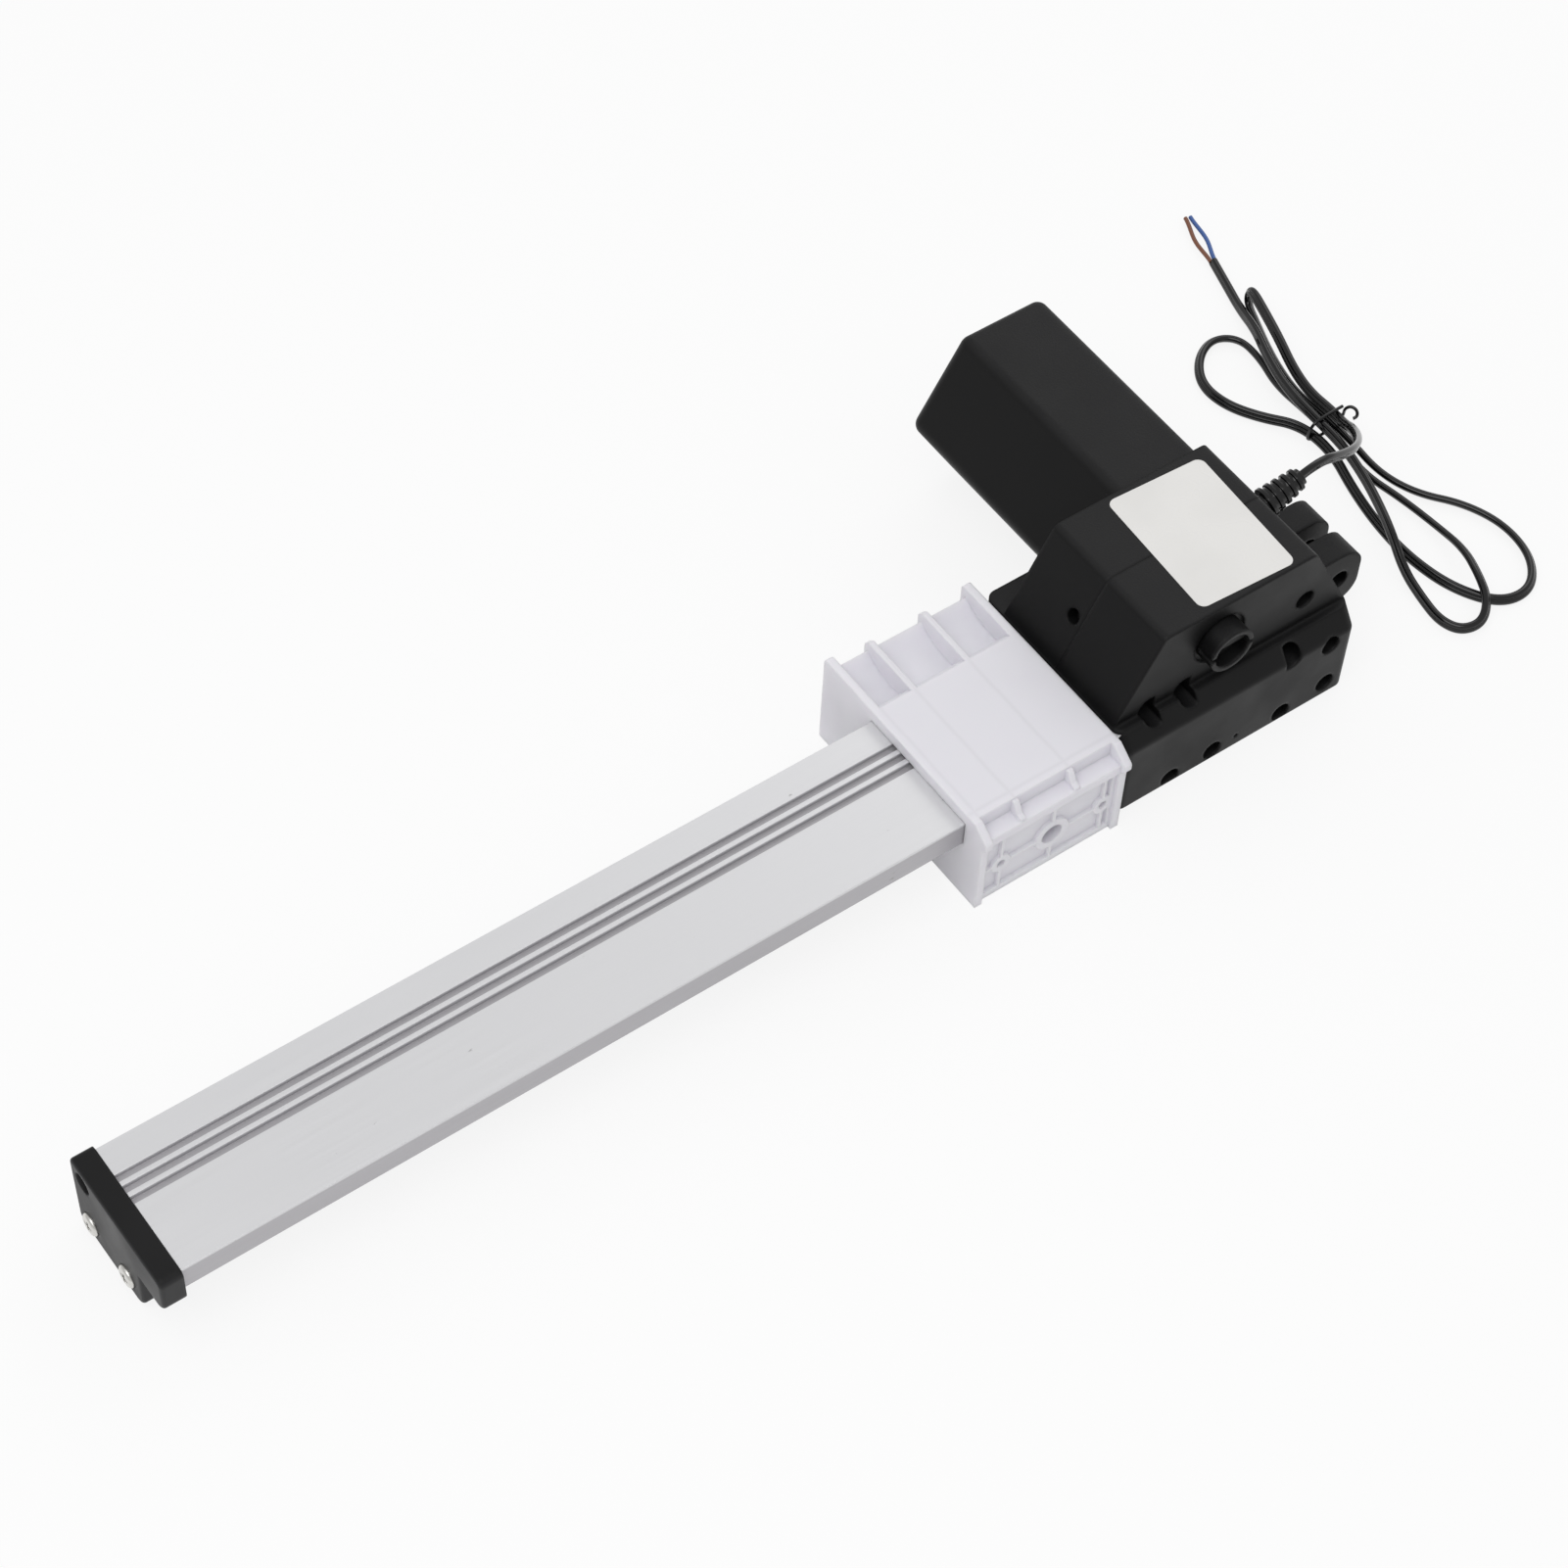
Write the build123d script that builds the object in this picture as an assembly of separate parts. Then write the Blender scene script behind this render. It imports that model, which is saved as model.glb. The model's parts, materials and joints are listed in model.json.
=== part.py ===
from build123d import *
import math
import os

# An electric linear drive: a motor turns a lead screw inside an aluminium rail, and the screw pulls a
# moulded slider along it. The lead screw's axis is the X axis. The origin is the centre of the rear
# clevis bore, +X runs towards the rail's end cap, +Z is up, and the motor lies on the -Y side.
# All sizes are in millimetres.

# Whole drive
floor_depth = 20.0
gearbox_rear_x = 14.0
gearbox_length = 100.0
slider_gap = 2.5
slider_length = 59.5
stroke = 280.0
stroke_reserve = 7.0

# Rail: a square-ish channel, open below, with a flat wing along its near side
rail_box_width = 34.0
rail_height = 31.0
rail_wing_width = 16.0
rail_wing_thickness = 10.3
rail_wall = 2.2
rail_top_wall = 4.4
rail_slot_width = 12.0
rail_seat_depth = 10.0
groove_count = 3
groove_width = 2.7
groove_depth = 1.8
groove_pitch = 4.5
screw_channel_y = 10.8
screw_channel_z = -11.8
channel_radius = 1.75
channel_wall = 1.5
spare_channel_y = -12.0
spare_channel_z = 9.6

# End cap
cap_thickness = 8.0
cap_motor_side_lip = 2.2
cap_near_lip = 1.5
cap_top_lip = 0.2
cap_bottom_lip = 3.9
cap_wing_drop = 5.9
cap_step_y = 2.5
cap_corner_radius = 4.5
cap_edge_radius = 1.2
pan_head_radius = 4.0
pan_head_height = 2.4
cap_head_recess = 1.0
cap_screw_length = 22.0
spare_hole_radius = 3.9
spare_hole_depth = 5.0

# Slider
slider_top_z = 20.5
slider_core_half_width = 41.0
flange_thickness = 3.0
slider_rib_thickness = 2.2
slider_rib_offsets = (17.0, 39.0)
shelf_drop = 4.0
trough_radius = 20.0
trough_y = -27.5
trough_bottom_z = 11.5
trough_wall = 2.3
bay_drop = 6.0
bay_edge_inset = 4.7
bay_lip_height = 4.0
bay_lip_reach = 1.4
flange_motor_reach = 2.5
flange_near_reach = 3.3
flange_tip_radius = 1.4
slide_clearance = 0.3
pivot_offset = 28.0
pivot_z = -5.0
pivot_radius = 4.1
pivot_depth = 16.0
pivot_boss_radius = 6.8
small_boss_radius = 3.9
small_boss_hole_radius = 1.6
small_boss_pitch = 21.0
side_pocket_depth = 1.4

# Lead screw and nut
screw_radius = 7.0
journal_radius = 5.0
rear_journal_radius = 4.0
running_gap = 0.08
seat_gap = 0.03
nut_length = 34.0
nut_half_width = 11.5
nut_bottom = 7.4
nut_top = 8.6
nut_neck_width = 10.0
nut_neck_depth = 2.4
nut_screw_pitch = 20.0

# Limit switches on their board under the rail's ceiling
board_gap = 0.2
board_thickness = 1.0
board_width = 9.0
board_start_y = 0.5
board_end_gap = 8.0
switch_length = 6.0
switch_height = 1.0
switch_inset = 1.0

# Bearings of the lead screw
front_bearing_radius = 13.0
front_bearing_width = 8.0
rear_bearing_radius = 11.0
rear_bearing_width = 7.0
rear_bearing_x = 25.0
bearing_flange_thickness = 14.0
bearing_flange_half_width = 22.0
bearing_flange_half_height = 15.4

# Worm gearing
gear_module = 1.2
wheel_teeth = 26
worm_pitch_radius = 5.5
worm_root_radius = 3.8
wheel_width = 14.0
wheel_hub_radius = 11.0
wheel_hub_length = 24.0
worm_axis_x = 52.3
worm_length = 32.0

# Gearbox housing
gear_top_z = 50.5
gear_base_top_z = 16.6
gear_slope_foot_z = 17.0
gear_base_half_width = 38.0
gear_side_inset = 0.75
gear_slope_run = 17.5
upper_near_y = 30.0
upper_motor_y = -28.0
near_shoulder_z = 9.5
near_shoulder_run = 5.0
shoulder_radius = 3.0
upper_edge_radius = 3.0
base_edge_radius = 4.0
recess_radius = 3.8
recess_floor_y = 18.0
recess_bottom_wall = 0.6
flat_recess_radius = 4.5
flat_recess_reach = 2.2
flat_recess_floor_y = 24.0
flat_recess_screw_shift = (1.2, 0.8)
pin_hole_radius = 0.9
pin_hole_depth = 3.0
slope_hole_radius = 2.8
slope_hole_share = 0.49
slope_hole_y = -4.4
slope_hole_depth = 6.0
housing_screw_radius = 2.0
housing_screw_reach = 14.0
housing_head_radius = 3.0
housing_head_height = 3.0

# Clevis
clevis_half_height = 12.5
clevis_reach = 9.5
clevis_corner_radius = 8.8
clevis_half_width = 14.0
clevis_slot_width = 6.0
clevis_bore_radius = 4.1

# Motor
motor_cover_top_z = 48.5
motor_cover_middle_z = 16.0
motor_cover_flat_half_width = 16.5
motor_cover_half_width = 35.6
motor_cover_wall = 2.5
motor_cover_end_y = -114.5
motor_cover_edge_radius = 4.5
cover_pillar_radius = 4.4
cover_screw_inset = 6.6
cover_screw_radius = 1.7
cover_head_radius = 3.0
cover_head_height = 2.2
cover_head_depth = 6.0
cover_screw_reach = 8.0
motor_can_radius = 24.5
motor_can_wall = 1.5
motor_can_length = 66.0
motor_gasket_thickness = 1.5
motor_boss_radius = 8.0
motor_boss_height = 3.5
motor_shaft_radius = 2.5
armature_radius = 15.0
armature_front_gap = 12.0
magnet_thickness = 6.5
commutator_radius = 6.0
commutator_length = 9.0
commutator_armature_gap = 1.0
commutator_bell_gap = 3.0
magnet_overhang = 2.0
end_bell_thickness = 5.0

# Label, plug and outlet
label_width = 38.5
label_length = 52.8
label_thickness = 0.2
label_corner_radius = 3.0
label_turn = 3.0
plug_x = 71.0
plug_z = 34.0
plug_radius = 8.8
plug_wall = 1.8
plug_height = 6.5
plug_slot = 1.8
outlet_y = -8.2
outlet_z = 30.0
relief_rise = 18.0
relief_length = 18.0
relief_base_radius = 5.8
relief_tip_radius = 3.8
relief_ribs = 5
relief_stand_off = 2.4

# Cord and wires
cord_radius = 1.8
wire_radius = 0.8
tie_radius = 0.55

# Places along the rail and the lead screw
gearbox_front_x = gearbox_rear_x + gearbox_length
rail_start_x = gearbox_front_x - rail_seat_depth
slider_rear_x = gearbox_front_x + slider_gap
slider_front_x = slider_rear_x + slider_length
rail_end_x = slider_front_x + stroke + stroke_reserve
cap_end_x = rail_end_x + cap_thickness
flange_start_x = rail_start_x - bearing_flange_thickness
floor_z = -floor_depth
rail_half_width = rail_box_width / 2
rail_half_height = rail_height / 2
rail_near_y = rail_half_width + rail_wing_width
wing_bottom_z = rail_half_height - rail_wing_thickness
rail_ceiling_z = rail_half_height - rail_top_wall

# Places across the slider
slider_half_width = slider_core_half_width + flange_motor_reach
flange_near_y = slider_core_half_width + flange_near_reach
bay_lip_y = slider_core_half_width + bay_lip_reach
bay_edge_y = slider_core_half_width - bay_edge_inset

# Places of the worm gearing
wheel_pitch_radius = gear_module * wheel_teeth / 2
wheel_tip_radius = wheel_pitch_radius + gear_module
worm_axis_z = wheel_pitch_radius + worm_pitch_radius
gear_top_rear_x = gearbox_rear_x + gear_side_inset + gear_slope_run
gear_top_front_x = gearbox_front_x - gear_side_inset - gear_slope_run

# Round recesses with and without a screw that joins the two halves of the gearbox, as (x, z)
round_recess_places = [(33.7, 28.4), (24.0, -14.0), (73.0, -15.8)]
blind_recess_places = [(25.0, 6.5), (43.0, -16.7), (91.0, -17.4)]
blind_recess_floor_y = 27.0
pin_hole_place = (62.8, -15.2)

# D-shaped recesses, as (x, z); the flat of the blind one faces the front, that of the others the rear
flat_recess_places = [(83.4, 17.0), (98.4, 17.2)]
blind_flat_recess_place = (42.4, 11.1)

# The cord's route from the strain relief over the floor, as points chosen by hand
cord_floor = floor_z + cord_radius
cord_tied = cord_floor + 1.5
cord_second = cord_floor + 4.8
cord_fold_top = cord_floor + 8.0
cord_route = [
    (-3.7, -8.2, 38.2),
    (-15.5, -10.0, 31.5),
    (-27.5, -14.5, 23.5),
    (-39.5, -24.0, 12.0),
    (-51.1, -36.9, -2.0),
    (-56.2, -46.0, -10.6),
    (-57.9, -54.0, -12.4),
    (-57.8, -66.0, cord_floor + 4.8),
    (-59.3, -77.4, cord_floor + 6.2),
    (-63.2, -90.1, cord_fold_top),
    (-66.8, -101.3, cord_fold_top),
    (-71.3, -116.5, cord_fold_top),
    (-71.3, -116.5, cord_floor),
    (-67.6, -107.0, cord_floor),
    (-63.6, -97.0, cord_floor),
    (-59.8, -85.0, cord_floor),
    (-57.4, -72.0, cord_floor),
    (-57.2, -58.0, cord_tied),
    (-57.4, -43.0, cord_tied),
    (-56.8, -26.0, cord_floor),
    (-61.5, -11.0, cord_floor),
    (-72.5, 2.0, cord_floor),
    (-78.0, 18.0, cord_floor),
    (-75.5, 34.5, cord_floor),
    (-65.5, 45.0, cord_floor),
    (-52.5, 43.5, cord_floor),
    (-43.0, 29.0, cord_floor),
    (-39.5, 10.0, cord_floor),
    (-40.5, -8.0, cord_floor),
    (-44.0, -25.5, cord_floor),
    (-48.4, -42.0, cord_tied),
    (-47.3, -58.0, cord_tied),
    (-38.5, -70.0, cord_floor),
    (-31.8, -82.0, cord_floor),
    (-31.0, -94.5, cord_floor),
    (-38.5, -105.0, cord_floor),
    (-48.8, -109.5, cord_floor),
    (-57.2, -104.0, cord_floor),
    (-57.2, -92.0, cord_floor),
    (-53.4, -78.0, cord_floor),
    (-53.3, -61.0, cord_tied),
    (-53.2, -44.0, cord_tied),
    (-52.0, -28.0, cord_floor),
    (-55.5, -12.0, cord_floor),
    (-57.5, 5.0, cord_floor),
    (-55.0, 20.5, cord_second),
    (-50.5, 33.0, cord_second + 1.0),
    (-47.5, 41.5, cord_floor + 3.5),
    (-40.8, 47.0, cord_floor + 1.0),
    (-33.0, 45.0, cord_floor),
    (-29.6, 37.5, cord_floor),
    (-31.0, 27.0, cord_floor),
    (-33.5, 14.0, cord_floor + 1.0),
    (-38.0, 1.0, cord_second + 1.0),
    (-43.0, -11.5, cord_second + 1.0),
    (-47.4, -25.0, cord_second + 1.0),
    (-50.6, -40.0, cord_second + 1.0),
    (-50.8, -56.0, cord_second + 1.0),
    (-51.5, -72.0, cord_second + 1.0),
    (-55.5, -87.0, cord_second + 1.0),
    (-61.5, -101.0, cord_second),
    (-66.5, -115.0, cord_floor + 0.5),
    (-70.5, -127.5, cord_floor),
]
cord_end = (-74.0, -139.5, cord_floor)


def block(x_span, y_span, z_span):
    """A box between two values on each axis."""
    size = (x_span[1] - x_span[0], y_span[1] - y_span[0], z_span[1] - z_span[0])
    corner = (x_span[0], y_span[0], z_span[0])
    return Pos(*corner) * Box(*size, align=(Align.MIN, Align.MIN, Align.MIN))


def rod(start, direction, length, radius):
    """A round bar from start along direction."""
    align = (Align.CENTER, Align.CENTER, Align.MIN)
    return Plane(origin=start, z_dir=direction) * Cylinder(radius, length, align=align)


def rod_x(x_start, x_end, radius, y=0.0, z=0.0):
    """A round bar along X."""
    return rod((x_start, y, z), (1, 0, 0), x_end - x_start, radius)


def rod_y(y_start, y_end, radius, x, z):
    """A round bar along Y."""
    return rod((x, y_start, z), (0, 1, 0), y_end - y_start, radius)


def prism_x(points, x_start, x_end):
    """A straight prism along X with an outline in Y and Z."""
    outline = Polyline(*[(x_start, y, z) for y, z in points], close=True)
    return extrude(make_face(outline), x_end - x_start, dir=(1, 0, 0))


def prism_y(points, y_start, y_end):
    """A straight prism along Y with an outline in X and Z."""
    outline = Polyline(*[(x, y_start, z) for x, z in points], close=True)
    return extrude(make_face(outline), y_end - y_start, dir=(0, 1, 0))


def edges_along(solid, axis):
    """The straight edges of a solid that run along an axis."""
    return solid.edges().filter_by(axis)


def edges_near(edges, y=None, z=None, x=None, reach=0.3):
    """The edges whose centres lie at the given places."""
    chosen = edges
    for index, value in enumerate((x, y, z)):
        if value is None:
            continue
        chosen = [e for e in chosen if abs((e.center().X, e.center().Y, e.center().Z)[index] - value) < reach]
    return chosen


def rail_section(gap=0.0):
    """The rail's outer outline in Y and Z, made larger all round by a gap."""
    y_low, y_mid, y_high = -rail_half_width - gap, rail_half_width + gap, rail_near_y + gap
    z_low, z_wing, z_high = -rail_half_height - gap, wing_bottom_z - gap, rail_half_height + gap
    return [(y_low, z_low), (y_mid, z_low), (y_mid, z_wing), (y_high, z_wing), (y_high, z_high), (y_low, z_high)]


def channel_places():
    """The screw channels of the rail that carry screws, as (y, z)."""
    return [(-screw_channel_y, screw_channel_z), (screw_channel_y, screw_channel_z)]


def make_rail():
    start, end = rail_start_x, rail_end_x
    rail = prism_x(rail_section(), start, end)
    inner_y = rail_half_width - rail_wall
    floor_wall_z = -rail_half_height + rail_wall
    hollow = block((start, end), (-inner_y, inner_y), (floor_wall_z, rail_ceiling_z))
    bosses = [
        rod_x(start, end, channel_radius + channel_wall, y, z)
        for y, z in channel_places() + [(spare_channel_y, spare_channel_z)]
    ]
    for boss in bosses:
        hollow -= boss
    rail -= hollow
    slot_half = rail_slot_width / 2
    rail -= block((start, end), (-slot_half, slot_half), (-rail_half_height - 1, floor_wall_z + 0.5))
    wing_low = rail_half_width + rail_wall
    wing_high = rail_near_y - rail_wall
    rail -= block((start, end), (wing_low, wing_high), (wing_bottom_z + rail_wall, rail_half_height - rail_wall))
    for index in range(groove_count):
        middle = (index - (groove_count - 1) / 2) * groove_pitch
        groove = (middle - groove_width / 2, middle + groove_width / 2)
        rail -= block((start, end), groove, (rail_half_height - groove_depth, rail_half_height + 1))
    for y, z in channel_places() + [(spare_channel_y, spare_channel_z)]:
        rail -= rod_x(start, end, channel_radius, y, z)
    return rail


def make_end_cap():
    inner, outer = rail_end_x, cap_end_x
    y_low = -rail_half_width - cap_motor_side_lip
    y_step = rail_half_width + cap_step_y
    y_high = rail_near_y + cap_near_lip
    z_low = -rail_half_height - cap_bottom_lip
    z_step = wing_bottom_z - cap_wing_drop
    z_high = rail_half_height + cap_top_lip
    points = [(y_low, z_low), (y_step, z_low), (y_step, z_step), (y_high, z_step), (y_high, z_high), (y_low, z_high)]
    cap = prism_x(points, inner, outer)
    lengthwise = edges_along(cap, Axis.X)
    low_corners = edges_near(lengthwise, z=z_low) + edges_near(edges_near(lengthwise, y=y_high), z=z_step)
    cap = fillet(low_corners, cap_corner_radius)
    lengthwise = edges_along(cap, Axis.X)
    cap = fillet(edges_near(lengthwise, z=z_high), cap_corner_radius / 2)
    outer_face = cap.faces().sort_by(Axis.X)[-1]
    cap = fillet(outer_face.edges(), cap_edge_radius)
    for y, z in channel_places():
        cap -= rod_x(outer - cap_head_recess, outer + 1, pan_head_radius + 0.2, y, z)
        cap -= rod_x(inner - 1, outer, channel_radius + 0.3, y, z)
    cap -= rod_x(outer - spare_hole_depth, outer + 1, spare_hole_radius, spare_channel_y, spare_channel_z)
    boss_end = inner - 5.0
    bush_seat = end_bush_radius() + seat_gap
    cap += rod_x(boss_end, inner, end_bush_radius() + 2.0)
    cap -= rod_x(boss_end - 1, inner + 4.2, bush_seat)
    wing_gap = 0.1
    wing_span = (rail_half_width + rail_wall + wing_gap, rail_near_y - rail_wall - wing_gap)
    wing_height = (wing_bottom_z + rail_wall + wing_gap, rail_half_height - rail_wall - wing_gap)
    cap += block((inner - 6.0, inner), wing_span, wing_height)
    return cap


def end_bush_radius():
    """The outer radius of the plain bush that holds the lead screw's far end."""
    return rear_journal_radius + 2.0


def pan_screw(start_x, y, z, shank_radius, shank_length):
    """A pan-head screw whose head rests at start_x and whose shank runs to -X."""
    head = rod_x(start_x, start_x + pan_head_height, pan_head_radius, y, z)
    head = fillet(head.edges().sort_by(Axis.X)[-1], 1.2)
    arm = block((start_x + 1.0, start_x + 4.0), (y - 2.2, y + 2.2), (z - 0.45, z + 0.45))
    arm += block((start_x + 1.0, start_x + 4.0), (y - 0.45, y + 0.45), (z - 2.2, z + 2.2))
    return head - arm + rod_x(start_x - shank_length, start_x, shank_radius, y, z)


def make_end_cap_screws():
    head_x = cap_end_x - cap_head_recess
    return [pan_screw(head_x, y, z, channel_radius - 0.05, cap_screw_length) for y, z in channel_places()]


def make_spindle_end_bush():
    inner = rail_end_x - 5.0
    bush = rod_x(inner, rail_end_x + 4.0, end_bush_radius())
    return bush - rod_x(inner - 1, rail_end_x + 5.0, rear_journal_radius + running_gap)


def make_lead_screw():
    thread_start = flange_start_x + front_bearing_width + 0.4
    thread_end = rail_end_x - 5.5
    screw = rod_x(thread_start, thread_end, screw_radius)
    screw = chamfer(screw.edges().filter_by(GeomType.CIRCLE), 0.8)
    screw += rod_x(rear_spacer_start(), thread_start, journal_radius)
    screw += rod_x(rear_bearing_x - 1.0, rear_spacer_start(), rear_journal_radius)
    screw += rod_x(thread_end, rail_end_x + 3.6, rear_journal_radius)
    return screw - rod_y(-screw_radius, screw_radius, 1.5 + seat_gap, wheel_pin_x(), 0.0)


def rear_spacer_start():
    """Where the rear spacer and the thicker journal begin, at the face of the rear bearing."""
    return rear_bearing_x + rear_bearing_width + 0.2


def wheel_start_x():
    """The rear face of the worm wheel's hub."""
    return worm_axis_x - wheel_hub_length / 2


def wheel_pin_x():
    """The place of the cross pin that holds the worm wheel on the lead screw."""
    return worm_axis_x + wheel_width / 2 + 2.7


def make_worm_wheel():
    tooth_depth = 2.2 * gear_module
    root_radius = wheel_tip_radius - tooth_depth
    half = wheel_width / 2
    wheel = rod_x(worm_axis_x - half, worm_axis_x + half, root_radius + 0.2)
    tooth_step = 360.0 / wheel_teeth
    root_half = gear_module * 0.95
    tip_half = gear_module * 0.42
    tooth_points = [(-root_half, root_radius - 0.3), (root_half, root_radius - 0.3),
                    (tip_half, wheel_tip_radius), (-tip_half, wheel_tip_radius)]
    tooth = prism_x(tooth_points, worm_axis_x - half, worm_axis_x + half)
    teeth = [Rot(X=index * tooth_step) * tooth for index in range(wheel_teeth)]
    wheel = wheel + teeth
    wheel += rod_x(wheel_start_x(), wheel_start_x() + wheel_hub_length, wheel_hub_radius)
    wheel -= rod_x(0, 100, journal_radius + seat_gap)
    return wheel - rod_y(-wheel_hub_radius - 1, wheel_hub_radius + 1, 1.5 + seat_gap, wheel_pin_x(), 0.0)


def make_wheel_pin():
    return rod_y(-wheel_hub_radius + 0.3, wheel_hub_radius - 0.3, 1.5, wheel_pin_x(), 0.0)


def spacer(x_start, x_end):
    """A sleeve on the lead screw between a bearing and the worm wheel's hub."""
    return rod_x(x_start, x_end, journal_radius + 2.0) - rod_x(x_start - 1, x_end + 1, journal_radius + seat_gap)


def make_front_spacer():
    return spacer(wheel_start_x() + wheel_hub_length, flange_start_x - 0.2)


def make_rear_spacer():
    return spacer(rear_spacer_start(), wheel_start_x())


def ball_bearing(x_start, width, outer_radius, bore_radius):
    """A shielded ball bearing as one ring with a shallow groove in each face."""
    ring = rod_x(x_start, x_start + width, outer_radius) - rod_x(x_start - 1, x_start + width + 1, bore_radius)
    middle = (outer_radius + bore_radius) / 2
    half_shield = (outer_radius - bore_radius) * 0.28
    for face_x in (x_start - 0.5, x_start + width - 0.5):
        shield = rod_x(face_x, face_x + 1.0, middle + half_shield) - rod_x(face_x, face_x + 1.0, middle - half_shield)
        ring -= shield
    return ring


def make_front_bearing():
    return ball_bearing(flange_start_x, front_bearing_width, front_bearing_radius, journal_radius + running_gap)


def make_rear_bearing():
    return ball_bearing(rear_bearing_x, rear_bearing_width, rear_bearing_radius, rear_journal_radius + running_gap)


def make_bearing_flange():
    half_y, half_z = bearing_flange_half_width, bearing_flange_half_height
    flange = block((flange_start_x, rail_start_x), (-half_y, half_y), (-half_z, half_z))
    flange = fillet(edges_along(flange, Axis.X), 2.0)
    flange -= rod_x(flange_start_x - 1, flange_start_x + front_bearing_width, front_bearing_radius + seat_gap)
    flange -= rod_x(flange_start_x, rail_start_x + 1, screw_radius + 0.8)
    for y, z in channel_places():
        flange -= rod_x(flange_start_x - 1, rail_start_x + 1, channel_radius + 0.2, y, z)
    return flange


def make_rail_screws():
    length = bearing_flange_thickness + 14.0
    screws = []
    for y, z in channel_places():
        head = rod_x(flange_start_x - 2.0, flange_start_x, 3.2, y, z)
        screws.append(head + rod_x(flange_start_x, flange_start_x + length, channel_radius - 0.05, y, z))
    return screws


def slider_flange_outline():
    """The outline of the slider's end flanges in Y and Z."""
    wide, core = slider_half_width, bay_lip_y
    bay_floor_z = slider_top_z - bay_drop
    near = flange_near_y
    return [(-wide, floor_z), (core, floor_z), (core, bay_floor_z - bay_lip_height), (near, bay_floor_z - 2.0),
            (near, bay_floor_z + 1.0), (bay_edge_y + 1.5, slider_top_z), (-wide, slider_top_z)]


def slider_flange(start):
    """One end flange of the slider, with rounded tips."""
    flange = prism_x(slider_flange_outline(), start, start + flange_thickness)
    tips = edges_near(edges_along(flange, Axis.X), y=-slider_half_width, z=slider_top_z)
    tips += edges_near(edges_along(flange, Axis.X), y=flange_near_y)
    return fillet(tips, flange_tip_radius)


def slider_trough():
    """The rounded hollow along the slider's motor side, beside the wall that covers the rail."""
    span = (slider_rear_x - 1, slider_front_x + 1)
    round_part = rod_x(*span, trough_radius, trough_y, trough_bottom_z + trough_radius)
    beside_wall = (-slider_core_half_width - 1, -rail_half_width - trough_wall)
    return round_part & block(span, beside_wall, (trough_bottom_z - 1, slider_top_z + 1))


def make_slider():
    rear, front = slider_rear_x, slider_front_x
    shelf_z = slider_top_z - shelf_drop
    bay_floor_z = slider_top_z - bay_drop
    half = slider_core_half_width
    plate_y = -rail_half_width
    core = [(-half, floor_z), (half, floor_z), (half, bay_floor_z - bay_lip_height),
            (bay_lip_y, bay_floor_z - bay_lip_height), (bay_lip_y, bay_floor_z), (bay_edge_y, bay_floor_z),
            (bay_edge_y, slider_top_z), (plate_y, slider_top_z), (plate_y - trough_wall, slider_top_z - trough_wall),
            (plate_y - trough_wall, shelf_z), (-half, shelf_z)]
    slider = prism_x(core, rear, front) - slider_trough()
    for start in (rear, front - flange_thickness):
        slider += slider_flange(start)
    for offset in slider_rib_offsets:
        middle = front - offset
        slider += slider_rib(middle - slider_rib_thickness / 2)
    slider -= prism_x(rail_section(slide_clearance), rear - 1, front + 1)
    slider = cut_side_pockets(slider)
    slider = cut_pivots(slider)
    slider -= nut_pocket(seat_gap)
    for x, y, z in nut_screw_places():
        slider -= rod((x, y, floor_z - 1), (0, 0, 1), 8, 1.6)
        slider -= rod((x, y, floor_z - 1), (0, 0, 1), 2.6, 3.2)
    return slider


def slider_rib(start):
    """One upright rib of the slider, with rounded tips on both sides."""
    bay_floor_z = slider_top_z - bay_drop
    far = -slider_half_width + 0.8
    near = slider_half_width - 1.6
    points = [(far, floor_z), (-rail_half_width, floor_z), (-rail_half_width, slider_top_z), (far + 2.0, slider_top_z),
              (far, slider_top_z - 2.0)]
    far_rib = prism_x(points, start, start + slider_rib_thickness)
    near_points = [(bay_edge_y - 1, bay_floor_z - 1), (near, bay_floor_z - 1), (near, bay_floor_z + 0.6),
                   (near - 2.2, bay_floor_z + 1.6), (bay_edge_y + 1.2, slider_top_z - 0.6),
                   (bay_edge_y - 1, slider_top_z - 0.6)]
    return far_rib + prism_x(near_points, start, start + slider_rib_thickness)


def pivot_places():
    """The slider's side bosses along X: the pivot in the middle and a small boss on each side."""
    middle = slider_rear_x + pivot_offset
    return [middle - small_boss_pitch, middle, middle + small_boss_pitch]


def cut_side_pockets(slider):
    """Shallow pockets in the slider's side faces that leave the bosses and thin ribs standing."""
    low, high = floor_z + 3.0, slider_top_z - bay_drop - bay_lip_height - 2.0
    x_low = slider_rear_x + flange_thickness + 1.5
    x_high = slider_front_x - flange_thickness - 1.5
    for side in (-1, 1):
        outer = side * slider_core_half_width
        inner = side * (slider_core_half_width - side_pocket_depth)
        pocket = block((x_low, x_high), (min(outer, inner), max(outer, inner)), (low, high))
        for index, x in enumerate(pivot_places()):
            radius = pivot_boss_radius if index == 1 else small_boss_radius
            pocket -= rod_y(min(outer, inner), max(outer, inner), radius, x, pivot_z)
        for x in pivot_places():
            pocket -= block((x - 0.6, x + 0.6), (min(outer, inner), max(outer, inner)), (low, high))
        pocket -= block((x_low, x_high), (min(outer, inner), max(outer, inner)), (pivot_z - 0.6, pivot_z + 0.6))
        slider -= pocket
    return slider


def cut_pivots(slider):
    """The blind pivot bore and the small holes in both side faces."""
    rear_boss, middle, front_boss = pivot_places()
    for side in (-1, 1):
        face_y = side * (slider_core_half_width + 1.0)
        inward = (0, -side, 0)
        slider -= rod((middle, face_y, pivot_z), inward, pivot_depth + 1.0, pivot_radius)
        for x in (rear_boss, front_boss):
            slider -= rod((x, face_y, pivot_z), inward, 9.0, small_boss_hole_radius)
    return slider


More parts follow.
